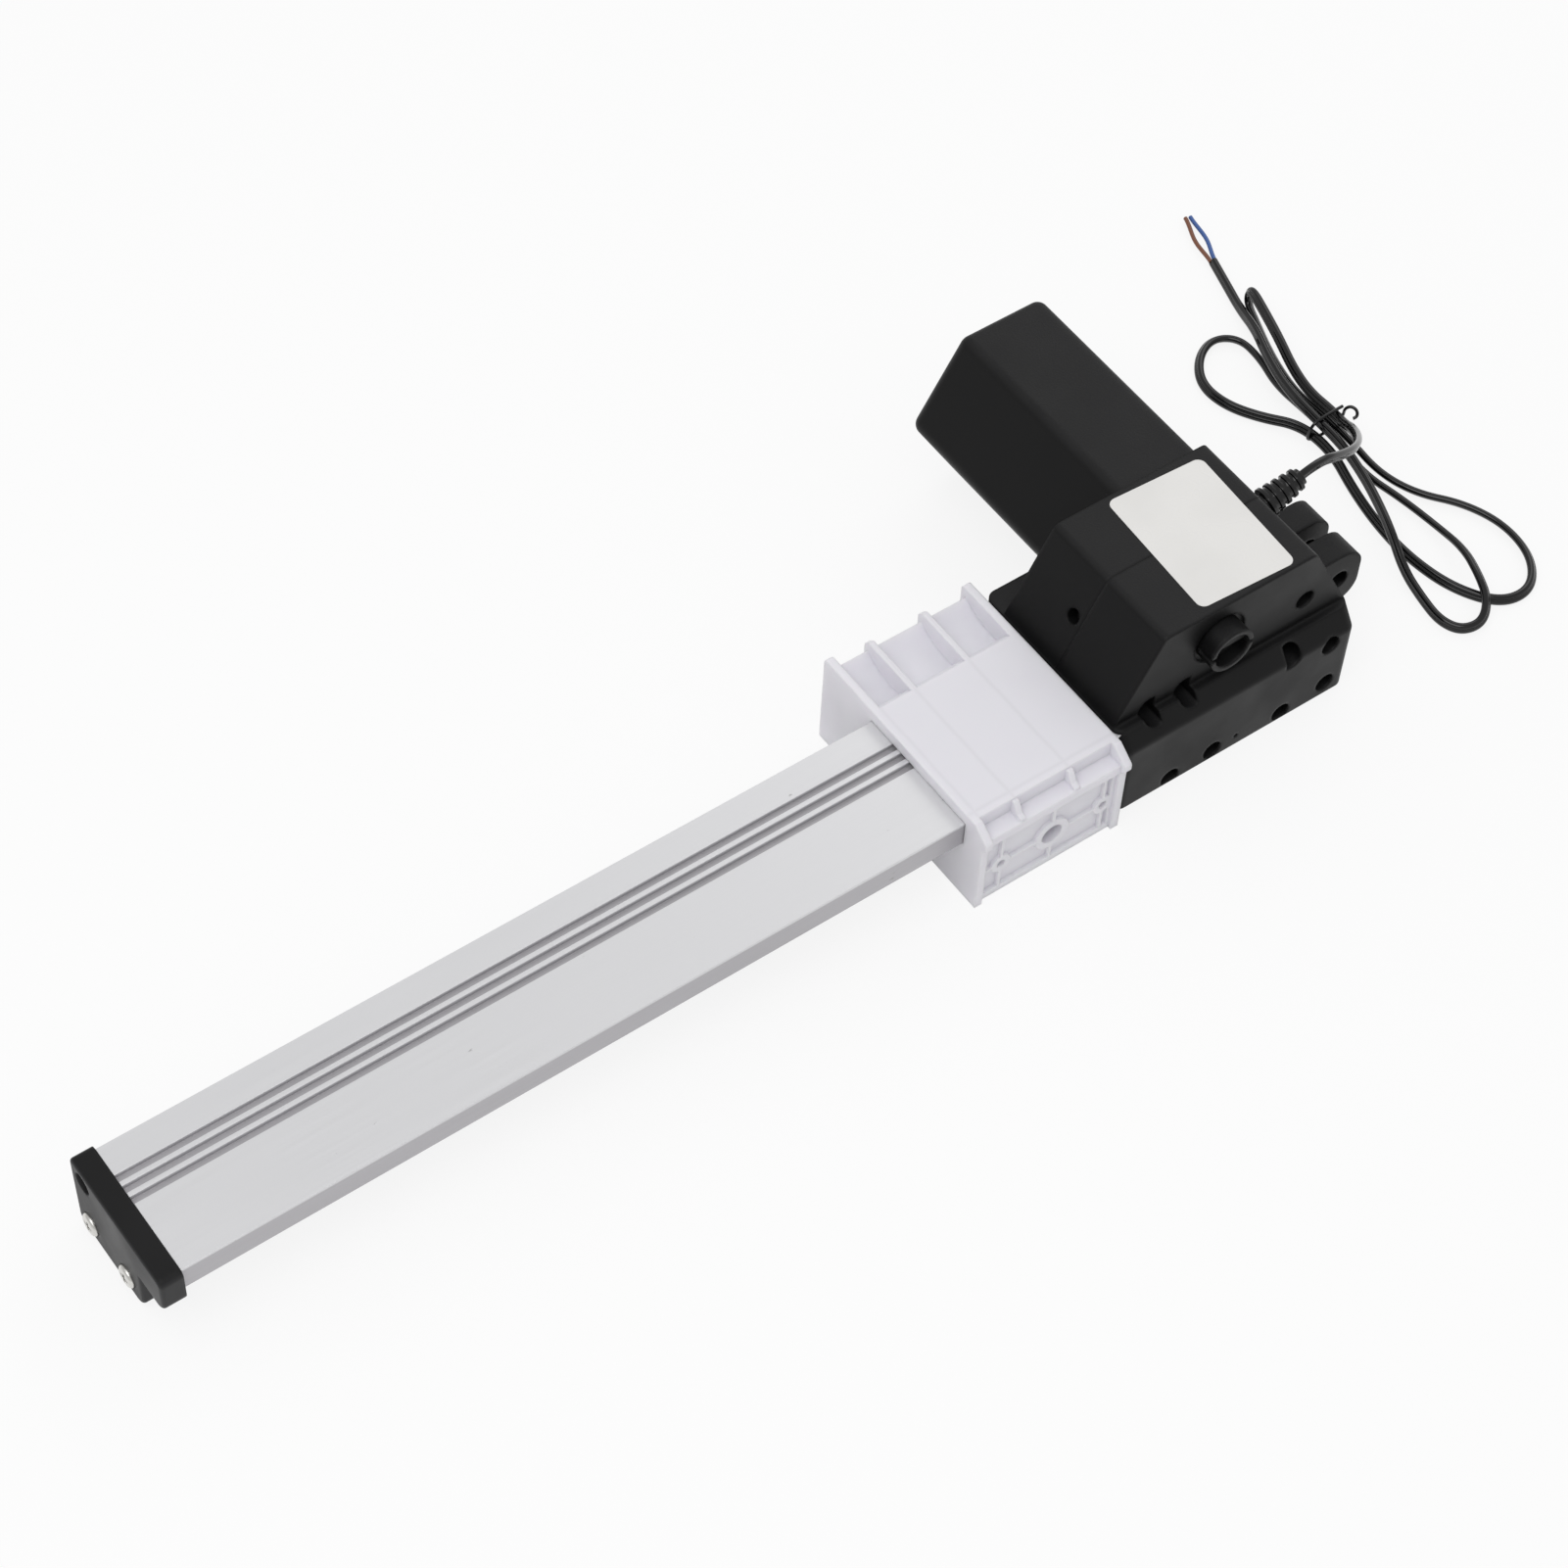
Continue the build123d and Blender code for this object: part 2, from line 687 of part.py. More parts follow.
def nut_middle_x():
    """The middle of the drive nut along the lead screw."""
    return (slider_rear_x + slider_front_x) / 2


def nut_pocket(gap):
    """The foot of the drive nut, which sits in the slider's floor, made larger by a gap."""
    middle, half = nut_middle_x(), nut_length / 2 - 2.0
    half_width = nut_neck_width / 2
    top = -nut_bottom
    bottom = -rail_half_height - slide_clearance - nut_neck_depth
    return block((middle - half - gap, middle + half + gap), (-half_width - gap, half_width + gap), (bottom - gap, top))


def nut_screw_places():
    """The screws from below that hold the slider on the nut."""
    middle = nut_middle_x()
    return [(middle + side * nut_screw_pitch / 2, 0.0, floor_z) for side in (-1, 1)]


def make_drive_nut():
    middle, half = nut_middle_x(), nut_length / 2
    nut = block((middle - half, middle + half), (-nut_half_width, nut_half_width), (-nut_bottom, nut_top))
    nut = chamfer(edges_along(nut, Axis.X), 1.0)
    nut -= rod_x(middle - half - 1, middle + half + 1, channel_radius + channel_wall + 0.6, spare_channel_y,
                 spare_channel_z)
    nut += nut_pocket(0.0)
    nut -= rod_x(middle - half - 1, middle + half + 1, screw_radius + running_gap)
    for x, y, z in nut_screw_places():
        nut -= rod((x, y, floor_z - 1), (0, 0, 1), floor_depth - screw_radius - 1.4, 1.6)
    return nut


def make_nut_screws():
    screws = []
    for x, y, z in nut_screw_places():
        head = rod((x, y, floor_z + 0.3), (0, 0, 1), 1.3, 3.0)
        shank = rod((x, y, floor_z + 1.6), (0, 0, 1), floor_depth - screw_radius - 4.8, 1.55)
        screws.append(head + shank)
    return screws


def make_switch_board():
    z_high = rail_ceiling_z - board_gap
    span = (rail_start_x + board_end_gap, rail_end_x - board_end_gap)
    return block(span, (board_start_y, board_start_y + board_width), (z_high - board_thickness, z_high))


def make_limit_switches():
    board_bottom = rail_ceiling_z - board_gap - board_thickness
    half = switch_length / 2
    across = (board_start_y + switch_inset, board_start_y + board_width - switch_inset)
    places = (slider_rear_x - 2 * half, rail_end_x - board_end_gap - 2 * half)
    return [block((x - half, x + half), across, (board_bottom - switch_height, board_bottom)) for x in places]


def gearbox_outside():
    """The outside of the gearbox with its clevis, as one solid before it is split and hollowed."""
    rear, front = gearbox_rear_x, gearbox_front_x
    half = gear_base_half_width
    base_points = [(-half, floor_z), (half, floor_z), (half, near_shoulder_z),
                   (half - near_shoulder_run, gear_base_top_z), (-half, gear_base_top_z)]
    base = prism_x(base_points, rear, front)
    base = fillet(edges_near(edges_along(base, Axis.X), y=half, z=near_shoulder_z), shoulder_radius)
    base = fillet(edges_along(base, Axis.Z), base_edge_radius)
    upper_points = [(rear + gear_side_inset, gear_slope_foot_z), (gear_top_rear_x, gear_top_z),
                    (gear_top_front_x, gear_top_z), (front - gear_side_inset, gear_slope_foot_z),
                    (front - gear_side_inset, 0.0), (rear + gear_side_inset, 0.0)]
    upper = prism_y(upper_points, upper_motor_y, upper_near_y)
    upper = fillet(edges_near(edges_along(upper, Axis.Y), z=gear_top_z), upper_edge_radius)
    outside = base + upper
    for side in (-1, 1):
        inner = clevis_slot_width / 2
        span = (inner, clevis_half_width) if side > 0 else (-clevis_half_width, -inner)
        ear = block((-clevis_reach, rear + 4.0), span, (-clevis_half_height, clevis_half_height))
        rounded = edges_near(edges_along(ear, Axis.Y), x=-clevis_reach)
        outside += fillet(rounded, clevis_corner_radius)
    outside -= rod_y(-clevis_half_width - 1, clevis_half_width + 1, clevis_bore_radius, 0.0, 0.0)
    return outside


def gearbox_hollow():
    """Everything that is taken out of the gearbox for the parts inside it."""
    rim_gap = 0.8
    tip = wheel_tip_radius + rim_gap
    hub = wheel_start_x()
    hollow = rod_x(hub - 1.0, hub + wheel_hub_length + 1.0, tip)
    hollow += rod_x(rear_bearing_x, rear_bearing_x + rear_bearing_width, rear_bearing_radius + seat_gap)
    hollow += rod_x(rear_bearing_x - 1.5, hub, rear_bearing_radius - 2.0)
    hollow += rod_x(hub + wheel_hub_length, flange_start_x, wheel_hub_radius - 1.5)
    hollow += rod_y(upper_motor_y - 12.0, worm_bush_y(), worm_pitch_radius + 2.2, worm_axis_x, worm_axis_z)
    half_y, half_z = bearing_flange_half_width + 0.05, bearing_flange_half_height + 0.05
    hollow += block((flange_start_x - 0.05, rail_start_x), (-half_y, half_y), (-half_z, half_z))
    for y, z in channel_places():
        hollow += rod_x(flange_start_x - 2.4, flange_start_x, 3.5, y, z)
    hollow += prism_x(rail_section(0.05), rail_start_x, gearbox_front_x + 1)
    return hollow


def worm_bush_y():
    """Where the worm's plain bush starts on the near side."""
    return worm_length / 2 + 1.0


def slope_direction():
    """The outward normal of the gearbox's rear slope."""
    rise = gear_top_z - gear_slope_foot_z
    length = math.hypot(rise, gear_slope_run)
    return (-rise / length, 0.0, gear_slope_run / length)


def outlet_direction():
    """The direction in which the cord leaves the gearbox."""
    rise = math.radians(relief_rise)
    return (-math.cos(rise), 0.0, math.sin(rise))


def outlet_point(distance=0.0):
    """A point on the cord outlet's axis, at a distance outside the rear slope."""
    along = outlet_direction()
    slope_x = gearbox_rear_x + gear_side_inset
    slope_x += (outlet_z - gear_slope_foot_z) * gear_slope_run / (gear_top_z - gear_slope_foot_z)
    return (slope_x + distance * along[0], outlet_y, outlet_z + distance * along[2])


def round_recess(floor_y, x, z):
    """A round recess in the gearbox's near side that leaves a thin wall above the floor."""
    mouth_y = gear_base_half_width + 2
    recess = rod_y(floor_y, mouth_y, recess_radius, x, z)
    low = floor_z + recess_bottom_wall
    return recess & block((x - recess_radius, x + recess_radius), (floor_y, mouth_y), (low, gear_top_z))


def flat_recess(floor_y, x, z, flat_side):
    """A D-shaped recess in the gearbox's near side; flat_side is the side of the flat along X."""
    mouth_y = gear_base_half_width + 2
    radius = flat_recess_radius
    ends = sorted((x + flat_side * flat_recess_reach, x - flat_side * radius))
    return rod_y(floor_y, mouth_y, radius, x, z) & block(ends, (floor_y, mouth_y), (z - radius, z + radius))


def housing_screw_places():
    """The screws that join the halves of the gearbox, as (x, z, y of the seat under the head)."""
    places = [(x, z, recess_floor_y) for x, z in round_recess_places]
    shift_x, shift_z = flat_recess_screw_shift
    return places + [(x + shift_x, z + shift_z, flat_recess_floor_y) for x, z in flat_recess_places]


def make_gearbox_halves():
    body = gearbox_outside() - gearbox_hollow()
    body -= rod_y(worm_bush_y() - 0.5, worm_bush_y() + 8.0, motor_shaft_radius + 2.5 + seat_gap, worm_axis_x, worm_axis_z)
    for x, z in round_recess_places:
        body -= round_recess(recess_floor_y, x, z)
    for x, z in blind_recess_places:
        body -= round_recess(blind_recess_floor_y, x, z)
    for x, z in flat_recess_places:
        body -= flat_recess(flat_recess_floor_y, x, z, -1)
    body -= flat_recess(blind_recess_floor_y, *blind_flat_recess_place, 1)
    for x, z, seat_y in housing_screw_places():
        body -= rod_y(-housing_screw_reach - 1, seat_y, housing_screw_radius + seat_gap, x, z)
    body -= rod_y(gear_base_half_width - pin_hole_depth, gear_base_half_width + 1, pin_hole_radius, *pin_hole_place)
    body -= rod_y(upper_near_y - 1.5, upper_near_y + 1, plug_radius + 1.6, plug_x, plug_z)
    body -= rod_y(upper_near_y - 8.0, upper_near_y, plug_radius - 2.0 + seat_gap, plug_x, plug_z)
    body -= motor_cover_prism(seat_gap, upper_motor_y, -gear_base_half_width - 1)
    body -= rod_y(upper_motor_y - 1, upper_motor_y + motor_boss_height, motor_boss_radius + seat_gap,
                  worm_axis_x, worm_axis_z)
    body -= rod(outlet_point(-9.0), outlet_direction(), 20.0, 4.0 + seat_gap)
    for place in motor_screw_places():
        body -= rod_y(upper_motor_y - 1, upper_motor_y + 9.0, 1.5 + seat_gap, *place)
    for place in cover_screw_places():
        body -= rod_y(upper_motor_y - 1, upper_motor_y + cover_screw_reach + 1.0, cover_screw_radius + seat_gap, *place)
    normal = slope_direction()
    hole_z = gear_slope_foot_z + (gear_top_z - gear_slope_foot_z) * slope_hole_share
    hole_x = gearbox_front_x - gear_side_inset - gear_slope_run * slope_hole_share
    body -= rod((hole_x, slope_hole_y, hole_z), (normal[0], 0, -normal[2]), slope_hole_depth, slope_hole_radius)
    near = body & block((-50, 200), (0, 60), (-50, 80))
    motor_side = body & block((-50, 200), (-60, 0), (-50, 80))
    return near, motor_side


def make_housing_screws():
    screws = []
    for x, z, seat_y in housing_screw_places():
        head = rod_y(seat_y, seat_y + housing_head_height, housing_head_radius, x, z)
        shank = rod_y(-housing_screw_reach, seat_y, housing_screw_radius, x, z)
        screws.append(head + shank)
    return screws


def cover_outline(grow):
    """The motor cover's six-sided outline as (x, z) points, moved outwards by grow."""
    side_run = motor_cover_half_width - motor_cover_flat_half_width
    side_rise = motor_cover_top_z - motor_cover_middle_z
    side_length = math.hypot(side_run, side_rise)
    flat = motor_cover_flat_half_width + grow * (side_length - side_run) / side_rise
    corner = motor_cover_half_width + grow * side_length / side_rise
    high = side_rise + grow
    points = [(corner, 0.0), (flat, high), (-flat, high), (-corner, 0.0), (-flat, -high), (flat, -high)]
    return [(worm_axis_x + x, motor_cover_middle_z + z) for x, z in points]


def motor_cover_prism(grow, y_start, y_end):
    """The outside of the motor cover between two places along Y, moved outwards by grow."""
    return prism_y(cover_outline(grow), min(y_start, y_end), max(y_start, y_end))


def make_motor_cover():
    wall = motor_cover_wall
    cover = motor_cover_prism(0.0, upper_motor_y - 0.05, motor_cover_end_y)
    cover = fillet(edges_along(cover, Axis.Y), motor_cover_edge_radius)
    cover = fillet(cover.faces().sort_by(Axis.Y)[0].edges(), motor_cover_edge_radius - 0.5)
    inner = motor_cover_prism(-wall, motor_cover_end_y + wall, upper_motor_y + 1)
    inner = fillet(edges_along(inner, Axis.Y), motor_cover_edge_radius - wall)
    for x, z in cover_screw_places():
        inner -= rod_y(motor_cover_end_y + wall, upper_motor_y + 1, cover_pillar_radius, x, z)
    cover -= inner
    for x, z in cover_screw_places():
        cover -= rod_y(motor_cover_end_y - 1, upper_motor_y + 1, cover_screw_radius + seat_gap, x, z)
        cover -= rod_y(motor_cover_end_y - 1, motor_cover_end_y + cover_head_depth, cover_head_radius + 0.2, x, z)
    return cover


def cover_screw_places():
    """The two long screws of the motor cover, in its side corners."""
    reach = motor_cover_half_width - cover_screw_inset
    return [(worm_axis_x - reach, motor_cover_middle_z), (worm_axis_x + reach, motor_cover_middle_z)]


def make_cover_screws():
    screws = []
    head_y = motor_cover_end_y + cover_head_depth
    for x, z in cover_screw_places():
        head = rod_y(head_y - cover_head_height, head_y, cover_head_radius, x, z)
        screws.append(head + rod_y(head_y, upper_motor_y + cover_screw_reach, cover_screw_radius, x, z))
    return screws


def motor_front_y():
    """The front face of the motor's can."""
    return upper_motor_y - motor_gasket_thickness


def motor_screw_places():
    """The two small screws between the gearbox wall and the motor's front."""
    reach = 12.0
    return [(worm_axis_x - reach, worm_axis_z), (worm_axis_x + reach, worm_axis_z)]


def make_motor_gasket():
    ring = rod_y(motor_front_y(), upper_motor_y, motor_can_radius - 1.0, worm_axis_x, worm_axis_z)
    ring -= rod_y(motor_front_y() - 1, upper_motor_y + 1, motor_boss_radius + seat_gap, worm_axis_x, worm_axis_z)
    for place in motor_screw_places():
        ring -= rod_y(motor_front_y() - 1, upper_motor_y + 1, 1.5 + seat_gap, *place)
    return ring


def make_motor_can():
    front = motor_front_y()
    rear = front - motor_can_length
    wall = motor_can_wall
    can = rod_y(rear, front, motor_can_radius, worm_axis_x, worm_axis_z)
    can = fillet(can.edges().sort_by(Axis.Y)[-1], 2.5)
    can -= rod_y(rear - 1, front - wall, motor_can_radius - wall, worm_axis_x, worm_axis_z)
    can += rod_y(front - wall - 4.0, front + motor_gasket_thickness + motor_boss_height - 0.1, motor_boss_radius,
                 worm_axis_x, worm_axis_z)
    can -= rod_y(front - 20.0, upper_motor_y + 10, motor_shaft_radius + running_gap, worm_axis_x, worm_axis_z)
    for x, z in motor_screw_places():
        can -= rod_y(front - wall - 1, front + 1, 1.5 + seat_gap, x, z)
    return can


def make_motor_screws():
    front = motor_front_y()
    return [rod_y(front - motor_can_wall, upper_motor_y + 8.0, 1.5, x, z) for x, z in motor_screw_places()]


def make_motor_magnets():
    outer = motor_can_radius - motor_can_wall - seat_gap
    inner = outer - magnet_thickness
    armature_low, armature_high = armature_span()
    low, high = armature_low - magnet_overhang, armature_high + magnet_overhang
    ring = rod_y(low, high, outer, worm_axis_x, worm_axis_z) - rod_y(low - 1, high + 1, inner, worm_axis_x, worm_axis_z)
    gap = block((0, 120), (low - 1, high + 1), (worm_axis_z - 8.0, worm_axis_z + 8.0))
    return (ring - gap).solids()


def armature_span():
    """The armature's two ends along Y: it fills the can between the commutator and the front."""
    low = end_bell_span()[1] + commutator_bell_gap + commutator_length + commutator_armature_gap
    return low, motor_front_y() - armature_front_gap


def make_armature():
    low, high = armature_span()
    core = rod_y(low, high, armature_radius, worm_axis_x, worm_axis_z)
    slots = 5
    for index in range(slots):
        angle = math.radians(360 * index / slots)
        x = worm_axis_x + armature_radius * math.cos(angle)
        z = worm_axis_z + armature_radius * math.sin(angle)
        core -= rod_y(low - 1, high + 1, 2.0, x, z)
    return core - rod_y(low - 1, high + 1, motor_shaft_radius + seat_gap, worm_axis_x, worm_axis_z)


def commutator_span():
    """The commutator's two ends along Y."""
    high = armature_span()[0] - commutator_armature_gap
    return high - commutator_length, high


def make_commutator():
    low, high = commutator_span()
    ring = rod_y(low, high, commutator_radius, worm_axis_x, worm_axis_z)
    return ring - rod_y(low - 1, high + 1, motor_shaft_radius + seat_gap, worm_axis_x, worm_axis_z)


def end_bell_span():
    """The end bell's two faces along Y: it closes the can's open rear end."""
    rear = motor_front_y() - motor_can_length
    return rear, rear + end_bell_thickness


def make_end_bell():
    low, high = end_bell_span()
    bell = rod_y(low, high, motor_can_radius - motor_can_wall - seat_gap, worm_axis_x, worm_axis_z)
    bell += rod_y(low - 3.0, low, 6.5, worm_axis_x, worm_axis_z)
    return bell - rod_y(low - 1.5, high + 1, motor_shaft_radius + running_gap, worm_axis_x, worm_axis_z)


def make_carbon_brushes():
    low, high = commutator_span()
    brushes = []
    for side in (-1, 1):
        near = commutator_radius + 0.1
        span = sorted((worm_axis_x + side * near, worm_axis_x + side * (near + 8.0)))
        y_high = min(high - 1.0, low + 7.0)
        brushes.append(block(span, (end_bell_span()[1], y_high), (worm_axis_z - 2.5, worm_axis_z + 2.5)))
    return brushes


def make_worm_shaft():
    half = worm_length / 2
    shaft = rod_y(-half, half, worm_root_radius, worm_axis_x, worm_axis_z)
    shaft += rod_y(half, worm_bush_y() + 7.0, motor_shaft_radius, worm_axis_x, worm_axis_z)
    return shaft + rod_y(end_bell_span()[0] - 1.2, -half, motor_shaft_radius, worm_axis_x, worm_axis_z)


def make_worm_end_bush():
    start, end = worm_bush_y(), worm_bush_y() + 7.8
    bush = rod_y(start, end, motor_shaft_radius + 2.5, worm_axis_x, worm_axis_z)
    return bush - rod_y(start - 1, end - 0.6, motor_shaft_radius + running_gap, worm_axis_x, worm_axis_z)


def make_access_plug():
    face = upper_near_y - 1.5
    end = upper_near_y + plug_height
    plug = rod_y(face, end, plug_radius, plug_x, plug_z)
    plug -= rod_y(face + 2.0, end + 1, plug_radius - plug_wall, plug_x, plug_z)
    half_fill = rod_y(face, end - 2.0, plug_radius - plug_wall, plug_x, plug_z)
    plug += half_fill & block((0, 200), (0, 100), (plug_z + plug_slot / 2, 100))
    plug -= block((plug_x - 20, plug_x + 20), (face + 2.0, end + 1), (plug_z - plug_slot / 2, plug_z + plug_slot / 2))
    return plug + rod_y(upper_near_y - 7.5, face, plug_radius - 2.0, plug_x, plug_z)


def make_label():
    plate = Rectangle(label_width, label_length)
    plate = fillet(plate.vertices(), label_corner_radius)
    middle = ((gear_top_rear_x + gear_top_front_x) / 2 - 6.0, 1.2, gear_top_z)
    return Pos(*middle) * Rot(Z=-label_turn) * extrude(plate, label_thickness)


def make_strain_relief():
    """A ribbed rubber sleeve on the rear slope, with a neck inside the wall."""
    length = relief_length - relief_stand_off
    step = length / (2 * relief_ribs)
    points = [(0.0, 0.0)]
    for index in range(relief_ribs):
        for part, inset in ((0, 0.0), (1, 0.9)):
            low = (2 * index + part) * step
            radius = relief_base_radius + (relief_tip_radius - relief_base_radius) * low / length - inset
            points.append((radius, low))
            points.append((radius, low + step))
    points.append((0.0, length))
    profile = make_face(Polyline(*[(r, 0, h) for r, h in points], close=True))
    sleeve = revolve(profile, Axis.Z)
    placed = Plane(origin=outlet_point(relief_stand_off), z_dir=outlet_direction()) * sleeve
    return placed + rod(outlet_point(-8.0), outlet_direction(), 8.0 + relief_stand_off, 4.0)


def cord_points():
    """The cord's route from the strain relief's tip to its bare end."""
    return [outlet_point(relief_length)] + cord_route + [cord_end]


def corner_radii(points):
    """The largest arc that each corner's two runs allow."""
    radii = []
    for before, here, after in zip(points, points[1:], points[2:]):
        first = Vector(*here) - Vector(*before)
        second = Vector(*after) - Vector(*here)
        turn = math.radians(first.get_angle(second))
        radii.append(0.45 * min(first.length, second.length) / math.tan(turn / 2))
    return radii


def make_power_cord():
    points = cord_points()
    radii = corner_radii(points)
    path = FilletPolyline(*points, radius=radii)
    start = path @ 0
    profile = Plane(origin=start, z_dir=path % 0) * Circle(cord_radius)
    tube = sweep(profile, path=path)
    expected = math.pi * cord_radius ** 2 * path.length
    print("cord length", round(path.length, 1), "volume", round(tube.volume, 1), "expected", round(expected, 1))
    print("tightest arcs", [round(r, 1) for r in sorted(radii)[:8]])
    return tube


def make_cord_tie():
    """A loop of thin wire round the cord's bundle, with one curled end."""
    y = -52.0
    low = floor_z + tie_radius + 0.1
    ring = [(-44.6, y, low), (-60.3, y, low), (-62.2, y, -14.0), (-60.4, y, -8.6), (-49.0, y, -8.6), (-45.0, y, -12.6)]
    loop = FilletPolyline(*ring, radius=1.2, close=True)
    tie = sweep(Plane(origin=loop @ 0, z_dir=loop % 0) * Circle(tie_radius), path=loop)
    tail_points = [(-61.1, y, -10.7), (-63.6, y + 2.4, -8.8), (-64.8, y + 6.4, -9.4), (-63.4, y + 8.4, -12.4),
                   (-61.0, y + 7.2, -12.6)]
    tail = FilletPolyline(*tail_points, radius=1.2)
    return tie + sweep(Plane(origin=tail @ 0, z_dir=tail % 0) * Circle(tie_radius), path=tail)


def wire(side, tip):
    """One bare-ended wire from the cord's end, bowing out to one side."""
    start = Vector(*cord_end)
    along = (start - Vector(*cord_route[-1])).normalized()
    across = along.cross(Vector(0, 0, 1)).normalized()
    begin = start + across * side * (wire_radius + 0.1)
    middle = start + along * 11.0 + across * side * 2.2
    end = start + along * 24.0 + across * side * tip
    path = Spline(begin, middle, end, tangents=(along, along))
    return sweep(Plane(origin=path @ 0, z_dir=path % 0) * Circle(wire_radius), path=path)


def save(name, solids):
    """Write one node; a list of solids becomes one group."""
    shape = Compound(children=list(solids)) if isinstance(solids, (list, tuple, ShapeList)) else solids
    export_step(shape, "parts/" + name + ".step")


os.makedirs("parts", exist_ok=True)
near_shell, motor_side_shell = make_gearbox_halves()
save("rail_profile", make_rail())
save("end_cap", make_end_cap())
save("end_cap_screws", make_end_cap_screws())
save("spindle_end_bush", make_spindle_end_bush())
save("lead_screw", make_lead_screw())
save("drive_nut", make_drive_nut())
save("nut_screws", make_nut_screws())
save("slider_body", make_slider())
save("limit_switch_board", make_switch_board())
save("limit_switches", make_limit_switches())
save("gearbox_shell_near", near_shell)
save("gearbox_shell_motor_side", motor_side_shell)
save("housing_screws", make_housing_screws())
save("bearing_flange", make_bearing_flange())
save("rail_screws", make_rail_screws())
save("front_bearing", make_front_bearing())
save("rear_bearing", make_rear_bearing())
save("worm_wheel", make_worm_wheel())
save("wheel_pin", make_wheel_pin())
save("front_spacer", make_front_spacer())
save("rear_spacer", make_rear_spacer())
save("worm_shaft", make_worm_shaft())
save("worm_end_bush", make_worm_end_bush())
save("armature", make_armature())
save("commutator", make_commutator())
save("motor_can", make_motor_can())
save("motor_magnets", make_motor_magnets())
save("motor_end_bell", make_end_bell())
save("carbon_brushes", make_carbon_brushes())
save("motor_gasket", make_motor_gasket())
save("motor_screws", make_motor_screws())
save("motor_cover", make_motor_cover())
save("cover_screws", make_cover_screws())
save("access_plug", make_access_plug())
save("label_plate", make_label())
save("strain_relief", make_strain_relief())
save("power_cord", make_power_cord())
save("cord_tie", make_cord_tie())
save("wire_blue", wire(1, 1.0))
save("wire_brown", wire(-1, 1.0))
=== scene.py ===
# %% [markdown]
# # An electric linear drive, dressed in Blender
# A motor in the black hexagonal cover turns a screw inside the aluminium rail, and the screw pulls the
# milky white slider along it. The solids come from the CAD model and are already in the right place, in
# metres. Here they get their softened edges, their finishes, a flat twin cord and soft studio light.

# %% Load the model and keep its box
import json
import math

import bpy
from mathutils import Matrix, Vector


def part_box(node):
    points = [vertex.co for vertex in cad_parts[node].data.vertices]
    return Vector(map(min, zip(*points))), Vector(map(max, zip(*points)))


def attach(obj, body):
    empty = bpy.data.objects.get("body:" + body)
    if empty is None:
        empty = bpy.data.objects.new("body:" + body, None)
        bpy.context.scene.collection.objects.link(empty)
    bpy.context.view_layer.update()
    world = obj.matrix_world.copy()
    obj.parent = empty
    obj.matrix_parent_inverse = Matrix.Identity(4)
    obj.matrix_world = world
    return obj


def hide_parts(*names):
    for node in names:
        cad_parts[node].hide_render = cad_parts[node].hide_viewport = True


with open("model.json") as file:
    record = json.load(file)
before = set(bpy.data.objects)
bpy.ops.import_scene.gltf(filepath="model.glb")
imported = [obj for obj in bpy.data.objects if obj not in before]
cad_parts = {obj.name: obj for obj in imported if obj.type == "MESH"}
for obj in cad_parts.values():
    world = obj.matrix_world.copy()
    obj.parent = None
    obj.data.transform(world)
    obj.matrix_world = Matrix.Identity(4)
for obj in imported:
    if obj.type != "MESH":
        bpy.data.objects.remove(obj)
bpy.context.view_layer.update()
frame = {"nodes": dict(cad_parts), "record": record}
nodes = frame["nodes"]
mm = 0.001
print("pieces in the model:", len(nodes))


# %% [markdown]
# ## The camera
# The product was photographed from high on its near side, past the end cap, with a long lens. A camera is
# three directions and a lens: where it looks, what is up, and how much it sees. The numbers below were
# measured from the straight edges of the rail, so the frame fits the photograph without any cropping.

# %% Place the camera
camera_place = Vector((0.68127, 0.57684, 1.01431))
camera_right = Vector((-0.8120, 0.5826, 0.0359)).normalized()
camera_back = Vector((0.3735, 0.4713, 0.7990)).normalized()
camera_up = camera_back.cross(camera_right).normalized()
camera_right = camera_up.cross(camera_back)
focal_pixels = 3985
photo_pixels = 1601
sensor_width_mm = 36

bpy.ops.object.select_all(action="DESELECT")
bpy.ops.object.camera_add(location=camera_place)
camera = bpy.context.object
turn = Matrix((camera_right, camera_up, camera_back)).transposed()
camera.rotation_euler = turn.to_euler()
camera.data.sensor_width = sensor_width_mm
camera.data.lens = sensor_width_mm * focal_pixels / photo_pixels
camera.data.clip_start = 0.05
camera.data.clip_end = 20
bpy.context.scene.camera = camera
print("lens", round(camera.data.lens, 1), "mm")


# %% [markdown]
# ## Finishes as small recipes
# Every finish starts from the same shader, so one helper makes it and the recipes below only say what is
# special: how dark, how rough, how grainy. Patterns read Object coordinates, because each piece's place is
# in its mesh and the pattern then stays with the piece when it moves.

# %% A helper that starts a finish
def start_finish(name, colour, roughness, metal=0.0, gloss=0.5):
    """A new material with its plain numbers set; returns it, its node tree and its shader."""
    finish = bpy.data.materials.new(name)
    finish.use_nodes = True
    shader = finish.node_tree.nodes["Principled BSDF"]
    shader.inputs["Base Color"].default_value = (*colour, 1.0)
    shader.inputs["Roughness"].default_value = roughness
    shader.inputs["Metallic"].default_value = metal
    shader.inputs["Specular IOR Level"].default_value = gloss
    return finish, finish.node_tree, shader


